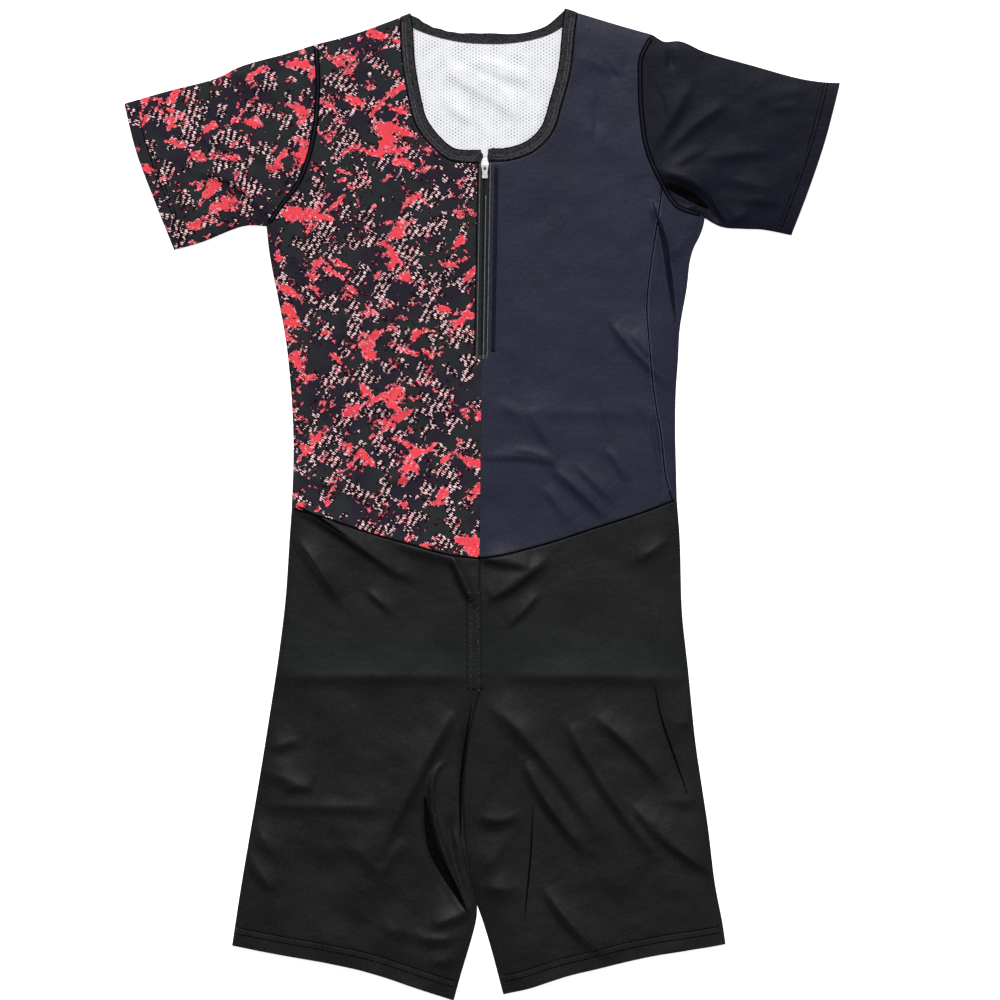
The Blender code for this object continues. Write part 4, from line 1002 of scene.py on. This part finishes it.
@functools.cache
def material(finish):
    """The material of a finish, made once, when a piece first asks for it."""
    ink = colours()
    name, roughness, shine, others, make, *given = {
        "printed_front": ("printed_knit", 0.72, 0.05, {}, printed_knit, (0, 0, 0), 0),
        "printed_sleeve": ("printed_knit_sleeve", 0.72, 0.05, {}, printed_knit,
                           (310, 170, 0), -16),
        "navy_front": ("navy_knit", 0.5, 0.12, {}, navy_knit, ink.navy, True),
        "navy_sleeve": ("navy_knit_sleeve", 0.5, 0.08, {}, navy_knit, ink.sleeve_navy,
                        False),
        "mesh_outside": ("mesh_knit_outside", 0.7, 0.1, {}, navy_knit, ink.navy, True),
        "mesh_inside": ("mesh_knit_inside", 0.8, 0.5, {"Sheen_Weight": 0.1}, mesh_knit),
        "satin": ("satin_knit", 0.54, 0.16, {}, satin_knit),
        "binding": ("binding_knit", 0.78, 0.12, {"Sheen_Weight": 0.02}, binding_knit),
        "tape": ("zip_tape", 0.6, 0.16, {}, tape_weave),
        "seam": ("seam_tape", 0.9, 0.01, {}, seam_tape),
        "sleeve_seam": ("sleeve_seam", 0.6, 0.1, {}, navy_knit, ink.sleeve_navy, False),
        "side_thread": ("side_sewing_thread", 0.6, 0.08, {}, sewing_thread,
                        ink.side_thread),
        "thread": ("sewing_thread", 0.6, 0.08, {}, sewing_thread, ink.thread),
        "dark_thread": ("dark_sewing_thread", 0.6, 0.08, {}, sewing_thread,
                        ink.dark_thread),
        "metal": ("nickel_plate", 0.34, 0.5, {"Metallic": 0.75}, nickel_plate),
    }[finish]
    made, shader = start_material(name, Roughness=roughness, Specular_IOR_Level=shine,
                                  **others)
    tree = made.node_tree
    for socket, key in zip(make(tree, *given), ("Base Color", "Normal", "Roughness")):
        tree.links.new(socket, shader.inputs[key])
    return made


# ------------------------------------------------------------ panels
def front_rows():
    """Steps up a front, with rows exactly where the zip ends."""
    jog_end = JOG_AT * (1 + JOG)
    return joined_steps(fine_steps(198, 0, JOG_AT, "start"), steps(3, JOG_AT, jog_end),
                        fine_steps(190, jog_end, 1, ""))


def front_patches(half, side, armhole, waist):
    """A front: its body, its yoke, and its turning over the shoulder and down the back."""
    columns, neck_corner = fine_steps(200), half.neck_seam(0.0)
    split = straight(side(1.0), neck_corner)
    # the middle edge: the middle line, the jog at the zip's end, the tape's edge
    beside_zip = chain(straight(ZIP_BOTTOM, half.zip_corner),
                       straight(half.zip_corner, neck_corner), JOG)
    middle = chain(straight(RISE[0], ZIP_BOTTOM), beside_zip, JOG_AT)
    arm_back = stretch(half.armhole, 1, half.arm_top)
    neck_back = stretch(back_neck_seam, *half.neck_turn)
    turned = coons(half.shoulder, straight(arm_back(1.0), neck_back(1.0)), arm_back,
                   neck_back)
    return [(columns, front_rows(), laid(on_top, coons(waist, split, side, middle))),
            (columns, fine_steps(175, fine=""),
             laid(on_top, coons(split, half.shoulder, armhole, half.neck_seam))),
            (columns, FOLD_SHARES, fold_place(half.shoulder, half.hand, half.tip,
                                              half.neck_side)),
            (columns, steps(3), laid(below, turned))]


def side_turn(half):
    """The grid round a side fold."""
    return front_rows(), FOLD_SHARES, fold_place(half.side, half.hand, half.waist_side,
                                                 half.underarm)


class SUIT_OT_fronts(bpy.types.Operator):
    """Make the printed right front and the plain left front"""
    bl_idname = "suit.fronts"
    bl_label = "Fronts"

    def execute(self, context):
        under = coons(waist_back(0, SEAM_AT_WAIST),
                      stretch(RIGHT.armhole, 0, RIGHT.arm_seam), RIGHT.side, RIGHT.seam)
        panel("front_print_cloth",
              front_patches(RIGHT, RIGHT.side, RIGHT.armhole, RIGHT.waist)
              + [side_turn(RIGHT), (steps(8), front_rows(), laid(below, under))],
              ["printed_front"], "front_print", "printed_knit")
        panel("front_plain_cloth",
              front_patches(LEFT, LEFT.seam, stretch(LEFT.armhole, LEFT.arm_seam, 1),
                            stretch(LEFT.waist, WAIST_SEAM_L, 1)),
              ["navy_front"], "front_plain", "navy_knit")
        return {"FINISHED"}


def back_top(u):
    """The back's upper edge: shoulder seam, neck seam, shoulder seam."""
    first, last = RIGHT.neck_turn[1], LEFT.neck_turn[1]
    right = straight(RIGHT.armhole(RIGHT.arm_top), back_neck_seam(first))
    left = straight(back_neck_seam(last), LEFT.armhole(LEFT.arm_top))
    u = np.asarray(u, float)
    middle = (u - BACK_SHOULDER) / (1 - 2 * BACK_SHOULDER)
    place = back_neck_seam(first + (last - first) * middle)
    place = np.where((u < BACK_SHOULDER)[..., None], right(u / BACK_SHOULDER), place)
    return np.where((u > 1 - BACK_SHOULDER)[..., None],
                    left((u - 1 + BACK_SHOULDER) / BACK_SHOULDER), place)


class SUIT_OT_back(bpy.types.Operator):
    """Make the mesh back, dark outside and white inside"""
    bl_idname = "suit.back"
    bl_label = "Back"

    def execute(self, context):
        columns = joined_steps(fine_steps(90, 0, BACK_SHOULDER, "start"),
                               fine_steps(170, BACK_SHOULDER, 1 - BACK_SHOULDER, ""),
                               fine_steps(90, 1 - BACK_SHOULDER, 1, "end"))
        split = straight(RIGHT.armhole(RIGHT.arm_seam), LEFT.side(1.0))
        body = coons(waist_back(SEAM_AT_WAIST, 1), split, RIGHT.seam, LEFT.side)
        yoke = coons(split, back_top, stretch(RIGHT.armhole, RIGHT.arm_seam, RIGHT.arm_top),
                     stretch(LEFT.armhole, 0, LEFT.arm_top))
        over = coons(stretch(LEFT.waist, 0, WAIST_SEAM_L),
                     stretch(LEFT.armhole, 0, LEFT.arm_seam), LEFT.side, LEFT.seam)
        panel("back_cloth", [
            (columns, front_rows(), laid(below, body)),
            (columns, fine_steps(170, fine="end"), laid(below_in_neck, yoke)),
            side_turn(LEFT), (fine_steps(30), front_rows(), laid(on_top, over))],
            ["mesh_outside", "mesh_inside"], "back", "mesh_knit")
        return {"FINISHED"}


class SUIT_OT_sleeves(bpy.types.Operator):
    """Make the printed and the plain sleeve"""
    bl_idname = "suit.sleeves"
    bl_label = "Sleeves"

    def execute(self, context):
        rows, across = fine_steps(150), fine_steps(150, fine="")
        for half, kind, finish, slot in (
                (RIGHT, "print", "printed_sleeve", "printed_knit"),
                (LEFT, "plain", "navy_sleeve", "navy_knit")):
            evened = relaxed(rows, across, coons(half.sleeve_under, half.sleeve_top,
                                                 half.armhole, half.cuff))
            panel(f"sleeve_{kind}_cloth", [
                (rows, across, laid(on_top, evened)), (rows, across, laid(below, evened)),
                (rows, FOLD_SHARES, fold_place(half.sleeve_under, half.hand,
                                               half.underarm)),
                (rows, FOLD_SHARES, fold_place(half.sleeve_top, -half.hand, half.tip))],
                [finish], f"sleeve_{kind}", slot)
        return {"FINISHED"}


def leg_patches(half):
    inner = chain(half.leg_touch, half.leg_end, TOUCH_SHARE / (1 - RISE_SHARE))
    touch_end, end_run = RISE_SHARE + TOUCH_SHARE, 100
    groove = [1 - (mm(sizes().leg_hem) + step) / end_run for step in (-1.4, -0.6, 0.6, 1.4)]
    rows = joined_steps(fine_steps(132, 0, RISE_SHARE, "start"),
                        fine_steps(214, RISE_SHARE, touch_end, ""),
                        fine_steps(end_run, touch_end, 1, "end", groove))
    columns, inner_rows = fine_steps(210), rows[rows >= RISE_SHARE - 1e-7]

    def inner_fold(row, share):
        t = (row - RISE_SHARE) / (1 - RISE_SHARE)
        along = unit(inner(np.minimum(t + 0.01, 1)) - inner(np.maximum(t - 0.01, 0)))
        return round_fold(inner(t), quarter_turn(along) * half.hand * INNER_FOLD, share)

    def middle(top):
        return chain(straight(top, RISE[1]), inner, RISE_SHARE)

    upper = coons(half.waist, half.hem, half.leg_out, middle(RISE[0]))
    lower = coons(straight(half.leg_out(0.0), WAIST_MIDDLE), half.hem, half.leg_out,
                  middle(WAIST_MIDDLE))
    return [(columns, rows, laid(on_top, upper)), (steps(24), rows, laid(below, lower)),
            (rows, FOLD_SHARES, fold_place(half.leg_out, -half.hand, half.waist_side)),
            (inner_rows, FOLD_SHARES, inner_fold)]


class SUIT_OT_legs(bpy.types.Operator):
    """Make the two satin legs"""
    bl_idname = "suit.legs"
    bl_label = "Legs"

    def execute(self, context):
        for half in HALVES:
            panel(f"leg_{half.name}_cloth", leg_patches(half), ["satin"],
                  f"leg_{half.name}", "satin_knit")
        return {"FINISHED"}


PUFF, GATHER = 0.35, 0.5                     # of the binding strip, mm


class SUIT_OT_binding(bpy.types.Operator):
    """Make the neck binding, one strip from zip to zip"""
    bl_idname = "suit.binding"
    bl_label = "Neck binding"

    def execute(self, context):
        thick = mm(sizes().binding)
        raised = (thick - SOLID_CLOTH) / 2

        def puffed(s):
            """The strip is fullest in its middle and thins to its edges."""
            return -PUFF * np.abs(2 * s - 1) ** 6

        def across_strip(first, second, s):
            return first * (1 - s[:, None]) + second * s[:, None]

        def between(seam, edge, put):
            def place(s, t):
                points = across_strip(seam(t), edge(t), s)
                x, y = points[:, 0], points[:, 1] - 400.0
                along = np.hypot(x, y) + 40.0 * np.arctan2(y, x)
                away_from_ends = np.clip(12 * t * (1 - t), 0, 1)
                points += (GATHER * s * away_from_ends * np.sin(along / 3.1)
                           * np.sin(along / 7.7 + 1.0))[:, None]
                spots, way = put(points, raised)
                spots[:, 2] += puffed(s) * way[:, 2]
                return spots, way
            return place

        def fold(half):
            def place(s, share):
                points = across_strip(half.shoulder(1.0), half.neck_edge(1.0), s)
                spots, way = round_fold(points, half.neck_side + 0 * points, share, raised)
                return spots + way * puffed(s)[:, None], way
            return place

        def end(half):
            """The end beside the zip, folded under: it bulges towards the other one."""
            flat = between(straight(half.notch[0], half.neck_seam(0.0)),
                           straight(half.notch[1], half.neck_edge(0.0)), on_top)

            def place(s, t):
                spots, way = flat(s, t)
                spots[:, 0] += half.notch_bulge * (1 - t) * np.exp(
                    -((s - half.notch_middle) / 0.2) ** 2)
                return spots, way
            return place

        across, front_run = fine_steps(12), fine_steps(200, fine="")
        patches = [(across, fine_steps(180, fine=""),
                    between(back_neck_seam, back_neck_edge, below))]
        for half in HALVES:
            patches += [(across, steps(4), end(half)), (across, FOLD_SHARES, fold(half)),
                        (across, front_run, between(half.neck_seam, half.neck_edge,
                                                    on_top))]
        panel("neck_binding_cloth", patches, ["binding"], "neck_binding", "binding_knit",
              thick)
        return {"FINISHED"}


# ------------------------------------------------------------ seams and stitches
def on_cloth(points, raised):
    """Heights over the outside of the upper layer."""
    return UPPER + lift(points) + mm(sizes().cloth) / 2 + raised


def ribbon(name, line, width, height, side_shift=0.0, sunk=0.2, slot="binding_knit",
           finish="seam", start=0.0, end=1.0, taper=False):
    """A narrow raised band that follows a line on the upper layer: a flat seam or a rib,
    and in some places a dark band of painted shade.
    """
    def place(s, t):
        wide = width * (np.sin(np.pi * t) ** 0.7 + 0.04 if taper else 1.0)
        t = start + (end - start) * t
        aside = side_shift + (s - 0.5) * wide
        points = line(t) + line.normal(t) * aside[:, None]
        crown = height * (1 - np.abs(2 * s - 1) ** 3)
        return layer(points, on_cloth(points, crown - sunk), 1.0)

    cells = max(4, round(line.length * (end - start) / 2.4))
    new_piece(name, cloth_wall([(steps(8), steps(cells), place)], 0.4), slot, finish)


def stitch_row(line, pitch, side_shift=0.0, slant=0.0, start=0.0, end=1.0, raised=0.0):
    """Places and headings of stitches along a line on the upper layer."""
    count = max(2, round(line.length * (end - start) / pitch))
    t = start + (end - start) * (np.arange(count) + 0.5) / count
    points = line(t) + line.normal(t) * side_shift
    along = line.along(t, 0.002)
    heading = np.arctan2(along[:, 1], along[:, 0]) + slant
    return np.column_stack([points, on_cloth(points, raised), heading])


def sew(name, rows, long, thick, finish="dark_thread", slot="binding_knit"):
    """Stitches, each a short rounded bar of thread at its place and heading."""
    bm = bmesh.new()
    for *spot, heading in np.vstack(rows).tolist():
        bmesh.ops.create_uvsphere(
            bm, u_segments=6, v_segments=4, radius=0.5,
            matrix=Matrix.Translation(spot) @ Matrix.Rotation(heading, 4, "Z")
            @ Matrix.Diagonal((long, thick, thick, 1.0)))
    new_piece(name, bm, slot, finish)


TAPE_RIBS = ((0.20, 0.35), (0.66, 0.5))      # place across a tape, and height
TAPE_EDGE_DIP, TAPE_DROP = 0.6, 0.1
# A flat black disc under the pull tab's eye: painted shade where the eye shows the slider.
EYE_SHADE_AT, EYE_SHADE_SIZE = (0.4, 335.0, 6.72), (1.15, 1.5, 0.1)      # under the pull tab's eye
COIL_START, COIL_END = 0.02, 0.86            # from the zip's bottom to its slider
COIL_LEAN = math.atan(0.35)
# pale ribs: name, half, share across its tape, width, height and end
ZIP_RIBS = (("left", LEFT, 0.93, 0.9, 0.75, 0.99), ("middle", LEFT, 0.3, 0.9, 0.75, 0.83),
            ("right", RIGHT, 0.65, 0.8, 0.6, 0.99))


class SUIT_OT_zip(bpy.types.Operator):
    """Make the zip tapes, their coil and the metal's finish"""
    bl_idname = "suit.zip"
    bl_label = "Zip"

    def execute(self, context):
        for half in HALVES:
            neck = half.neck_seam(0.0)
            flat = coons(straight(ZIP_BOTTOM, half.zip_corner), straight(ZIP_TOP, neck),
                         straight(ZIP_BOTTOM, ZIP_TOP), straight(half.zip_corner, neck))

            def place(u, v):
                spots, way = on_top(flat(u, v), -TAPE_DROP)
                for rib, high in TAPE_RIBS:
                    spots[:, 2] += high * np.exp(-((u - rib) / 0.08) ** 2)
                spots[:, 2] -= TAPE_EDGE_DIP * np.exp(-(u / 0.07) ** 2)
                return spots, way

            panel(f"zip_tape_{half.name}_weave", [(steps(26), steps(80), place)],
                  ["tape"], f"zip_tape_{half.name}", "zip_tape", mm(sizes().tape))
        middle = Line((ZIP_BOTTOM, ZIP_TOP))
        count = round(middle.length * (COIL_END - COIL_START) / mm(sizes().coil_pitch))
        spots = on_top(middle(np.linspace(COIL_START, COIL_END, count)), 0.1)[0]
        leans = np.where(np.arange(count) % 2, COIL_LEAN, -COIL_LEAN)
        sew("zip_coil", [np.column_stack([spots, leans])], 2.0, 0.62, "tape", "zip_tape")
        ribbon("zip_edge_right", Line((RIGHT.zip_corner, RIGHT.neck_seam(0.0))), 1.2, 0.1,
               sunk=0.1, slot="zip_tape")
        for name, half, share, width, height, end in ZIP_RIBS:
            low = straight(ZIP_BOTTOM, half.zip_corner)(share)
            high = straight(ZIP_TOP, half.neck_seam(0.0))(share)
            ribbon(f"zip_rib_{name}", Line((low, high)), width, height, sunk=0.1,
                   slot="zip_tape", finish="thread", end=end)
        # A darker navy band beside the zip: painted shade where the plain front dips beside
        # the tape.
        ribbon("zip_side_shade", Line(((8.6, 152), (12.0, 338))), 4.0, 0.14, sunk=0.12,
               slot="navy_knit", finish="navy_sleeve")
        tack = Line((RIGHT.zip_corner, (-3.2, 146.2), LEFT.zip_corner))
        sew("bar_tack", [stitch_row(tack, 1.5, shift, 1.4, raised=0.4)
                         for shift in (-0.9, 0.9)], 2.0, 0.6, "thread", "zip_tape")
        # Painted shade: a flat black disc under the pull tab's eye.
        bm = bmesh.new()
        bmesh.ops.create_uvsphere(
            bm, u_segments=20, v_segments=10, radius=1.0,
            matrix=Matrix.Translation(EYE_SHADE_AT) @ Matrix.Diagonal((*EYE_SHADE_SIZE, 1.0)))
        new_piece("pull_eye_shade", bm, "nickel", "seam")
        for node in ("zip_slider", "zip_pull"):
            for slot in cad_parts[node].material_slots:
                slot.material = material("metal")
        return {"FINISHED"}


RISE_SHIFT, RISE_ROWS = -5.7, (-3.3, 3.9)
# painted shade: dark ribbons laid on the cloth where it is pinched or folded so deep that
# only a dark line shows. Name, line, width, slot and finish
PINCHES = (
    ("inseam_line_right", ((-13, -200), (-18, -232), (-23.5, -280), (-24, -336)), 3.4,
     "satin_knit", "seam"),
    ("inner_leg_shade", ((-60, -292), (-51, -345), (-36, -374), (-17, -407)), 10.0,
     "satin_knit", "seam"),
    ("inseam_line_left", ((48.5, -300), (46, -352), (39.5, -419)), 1.8,
     "satin_knit", "seam"),
    ("side_line_leg", ((170.5, -182), (175.5, -209), (203, -290)), 2.4,
     "satin_knit", "seam"),
    ("waist_pinch_line", ((-189, -1), (-166, -13), (-138, -32)), 2.6, "satin_knit", "seam"),
    ("underarm_shade", ((177, 321), (199, 312), (224, 296)), 9.5, "navy_knit", "seam"),
    ("side_tuck", ((168, 302), (178, 268), (185, 228), (191, 182)), 6.0,
     "navy_knit", "navy_sleeve"),
)


class SUIT_OT_seams(bpy.types.Operator):
    """Make the flat seams, the edges of the binding, and the dark ribbons of painted shade
    in the deep pinches
    """
    bl_idname = "suit.seams"
    bl_label = "Flat seams"

    def execute(self, context):
        width = mm(sizes().armhole_band)
        for half, finish in ((RIGHT, "sleeve_seam"), (LEFT, "navy_sleeve")):
            side = half.name
            ribbon(f"armhole_edge_{side}", half.armhole, width, 0.15, sunk=0.15,
                   start=0.015, end=0.985)
            ribbon(f"armhole_band_{side}", half.armhole, width * 0.55, 0.45, sunk=0.1,
                   slot="navy_knit", finish=finish, start=0.015, end=0.985)
            ribbon(f"binding_foot_{side}", half.neck_seam, 1.3, 0.1, sunk=0.1)
            ribbon(f"binding_lip_{side}", half.neck_edge, 1.3, 0.15,
                   side_shift=0.5 * half.hand, sunk=-0.3)
            # A black strip along the waist seam: painted shade of the seam's groove.
            ribbon(f"waist_edge_{side}", half.waist, 1.9, 0.12, sunk=0.12, start=0.004)
        ribbon("rise_band", rise, mm(sizes().rise_band), 0.12, side_shift=RISE_SHIFT,
               sunk=0.12, finish="satin", slot="satin_knit", start=0.25)
        ribbon("side_edge_left", LEFT.seam, 0.9, 0.12, side_shift=-0.7, sunk=0.12,
               end=0.985)
        for name, shift in (("outer", 0.5), ("inner", -2.2)):
            ribbon(f"side_line_{name}", LEFT.seam, 0.7, 0.3, side_shift=shift, sunk=0.1,
                   slot="navy_knit", finish="side_thread", start=0.03, end=0.96)
        # Dark ribbons of painted shade, laid in the deep pinches and gaps.
        for name, points, width, slot, finish in PINCHES:
            ribbon(name, Line(points), width, 0.5, sunk=0.0, slot=slot, finish=finish,
                   taper=True)
        return {"FINISHED"}


class SUIT_OT_stitches(bpy.types.Operator):
    """Sew the hems, flat seams and binding"""
    bl_idname = "suit.stitches"
    bl_label = "Stitches"

    def execute(self, context):
        size = sizes()
        pitch, thread, band = mm(size.stitch), mm(size.thread), mm(size.armhole_band)
        sew("armhole_stitches",
            [stitch_row(half.armhole, 1.9, band * shift, slant, raised=0.42)
             for half in HALVES for shift, slant in ((-0.22, 0.9), (0.22, -0.9))],
            2.2, thread)
        sew("binding_stitches",
            [stitch_row(half.neck_seam, 2.1, -half.hand * depth, start=0.01, end=0.98,
                        raised=0.62) for half in HALVES for depth in (2.4, 5.2)],
            1.8, thread * 1.3, "thread")
        for name, finish, side, share in (("rise_stitches", "dark_thread", 1, 1.9),
                                          ("rise_loops", "thread", -1, 0.7)):
            rows = [stitch_row(rise, 2.5, RISE_SHIFT + row + side * shift, slant,
                               start=0.3, raised=0.26)
                    for row in RISE_ROWS for shift, slant in ((-0.72, 0.8), (0.72, -0.8))]
            sew(name, rows, 2.3, thread * share, finish)
        sew("rise_edge_stitches", [stitch_row(rise, 2.6, 0.6, end=0.3)], 2.6, thread)
        for line, kind, hand, edge, between, slot, sewn, width, start, longer, share in (
                ("hem", "leg_hem", 1, size.leg_hem, size.hem_rows, "satin_knit",
                 "satin_knit", 1.3, 0.01, 1.02, 1.9),
                ("cuff", "cuff", -1, size.sleeve_hem, size.cuff_rows, "navy_knit",
                 "binding_knit", 1.2, 0.015, 1.0, 1.5)):
            rows = []
            for half in HALVES:
                for row in (0, 1):
                    hem, aside = getattr(half, line), mm(edge - row * between)
                    aside *= hand * half.hand
                    ribbon(f"{kind}_line_{half.name}_{row}", hem, width, 0.1,
                           side_shift=aside, slot=slot, start=start, end=1 - start)
                    rows.append(stitch_row(hem, pitch, aside, start=start, end=1 - start))
            sew(f"{kind}_stitches", rows, pitch * longer, thread * share, slot=sewn)
        return {"FINISHED"}


# cloth piece, its flat size and area (m, m2), what it lies on, and what is sewn on it
SHEETS = (
    ("back_cloth", (0.43, 0.49), 0.178, ["floor"], ["side_line_inner"]),
    ("front_print_cloth", (0.245, 0.56), 0.093, ["back_cloth"], []),
    ("front_plain_cloth", (0.195, 0.56), 0.076, ["back_cloth"],
     ["side_edge_left", "side_line_outer", "zip_side_shade"]),
    ("sleeve_print_cloth", (0.36, 0.205), 0.053, ["floor"],
     ["armhole_edge_right", "armhole_band_right", "cuff_line_right_0",
      "cuff_line_right_1"]),
    ("sleeve_plain_cloth", (0.36, 0.21), 0.055, ["floor"],
     ["armhole_edge_left", "armhole_band_left", "cuff_line_left_0", "cuff_line_left_1"]),
    ("leg_right_cloth", (0.46, 0.50), 0.188, ["floor"],
     ["waist_edge_right", "rise_band", "leg_hem_line_right_0", "leg_hem_line_right_1"]),
    ("leg_left_cloth", (0.47, 0.50), 0.200, ["floor"],
     ["waist_edge_left", "leg_hem_line_left_0", "leg_hem_line_left_1"]),
    ("neck_binding_cloth", (0.014, 0.62), 0.0062,
     ["front_print_cloth", "front_plain_cloth", "back_cloth"],
     ["binding_stitches", "binding_foot_right", "binding_foot_left",
      "binding_lip_right", "binding_lip_left"]),
    ("zip_tape_right_weave", (0.010, 0.2), 0.0013, ["back_cloth"],
     ["zip_edge_right", "zip_rib_right"]),
    ("zip_tape_left_weave", (0.010, 0.2), 0.0013, ["back_cloth"],
     ["zip_coil", "zip_rib_left", "zip_rib_middle", "bar_tack"]),
)


class SUIT_OT_sheets(bpy.types.Operator):
    bl_idname = "suit.sheets"
    bl_label = "Cloth sizes"

    def execute(self, context):
        for name, flat, area, rests_on, with_pieces in SHEETS:
            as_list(rests_on)
            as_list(with_pieces)
        return {"FINISHED"}


# ------------------------------------------------------------ stage
FLOOR_REACH, FLOOR_DROP = 40.0, 0.0004       # metres; the floor ends out of every view


class SUIT_OT_stage(bpy.types.Operator):
    """Lay the floor and set up the lights and the camera"""
    bl_idname = "suit.stage"
    bl_label = "Stage"

    def execute(self, context):
        scene, stage = context.scene, context.scene.suit_stage

        def placed(name, data, location=(0, 0, 0), rotation=(0, 0, 0)):
            thing = bpy.data.objects.new(name, data)
            thing.location, thing.rotation_euler = location, rotation
            scene.collection.objects.link(thing)
            return thing

        bm = bmesh.new()
        bmesh.ops.create_grid(bm, x_segments=1, y_segments=1, size=FLOOR_REACH)
        bmesh.ops.translate(bm, vec=(0, 0, -FLOOR_DROP), verts=bm.verts)
        mesh = bpy.data.meshes.new("floor")
        bm.to_mesh(mesh)
        bm.free()
        mesh.materials.append(start_material(
            "painted_table", Roughness=0.85, Base_Color=(*stage.floor, 1.0),
            Emission_Color=(1.0, 1.0, 1.0, 1.0), Emission_Strength=stage.glow)[0])
        placed("floor", mesh)

        scene.world = bpy.data.worlds.new("room")
        scene.world.use_nodes = True
        background = scene.world.node_tree.nodes["Background"]
        background.inputs["Strength"].default_value = stage.world
        background.inputs["Color"].default_value = (1, 1, 1, 1)
        window = bpy.data.lights.new("window", "SUN")
        window.energy, window.angle = stage.key, stage.softness
        placed("window", window, rotation=(stage.slant, 0.0, stage.heading))
        for name, place, power in (("room_fill", (1.5, -0.6, 1.7), stage.fill),
                                   ("ceiling", (0.0, 0.0, 3.0), stage.overhead)):
            light = bpy.data.lights.new(name, "AREA")
            light.shape, light.size, light.energy = "DISK", 1.6, power
            placed(name, light, place,
                   (-Vector(place)).to_track_quat("-Z", "Y").to_euler())

        camera = bpy.data.cameras.new("camera")
        cloth_level = (UPPER + CROWN) * MM
        camera.sensor_width = 36.0
        camera.lens = (camera.sensor_width * (stage.camera_height - cloth_level)
                       / stage.frame_width)
        scene.camera = placed("camera", camera,
                              (stage.aim_x, stage.aim_y, stage.camera_height))
        scene.view_settings.view_transform = "Standard"
        return {"FINISHED"}


class SUIT_PT_sidebar(bpy.types.Panel):
    """Lists the steps and sizes of the suit"""
    bl_idname = "SUIT_PT_sidebar"
    bl_label = "Running speedsuit"
    bl_space_type = "VIEW_3D"
    bl_region_type = "UI"
    bl_category = "Speedsuit"

    def draw(self, context):
        for operator in STEPS:
            self.layout.operator(operator.bl_idname)
        for group in (getattr(context.scene, name) for name in GROUPS):
            box = self.layout.box()
            for name in group.__annotations__:
                box.prop(group, name)


STEPS = (SUIT_OT_stage, SUIT_OT_back, SUIT_OT_fronts, SUIT_OT_sleeves, SUIT_OT_legs,
         SUIT_OT_binding, SUIT_OT_zip, SUIT_OT_seams, SUIT_OT_stitches, SUIT_OT_sheets)
GROUPS = {"suit_sizes": SuitSizes, "suit_colours": SuitColours,
          "suit_stage": StageSettings}
CLASSES = (*GROUPS.values(), *STEPS, SUIT_PT_sidebar)


def register():
    for kind in CLASSES:
        bpy.utils.register_class(kind)
    for name, kind in GROUPS.items():
        setattr(bpy.types.Scene, name, bpy.props.PointerProperty(type=kind))


def unregister():
    for name in GROUPS:
        delattr(bpy.types.Scene, name)
    for kind in reversed(CLASSES):
        bpy.utils.unregister_class(kind)


def main():
    register()
    for operator in STEPS:
        group, name = operator.bl_idname.split(".")
        getattr(getattr(bpy.ops, group), name)()


if __name__ == "__main__":
    main()
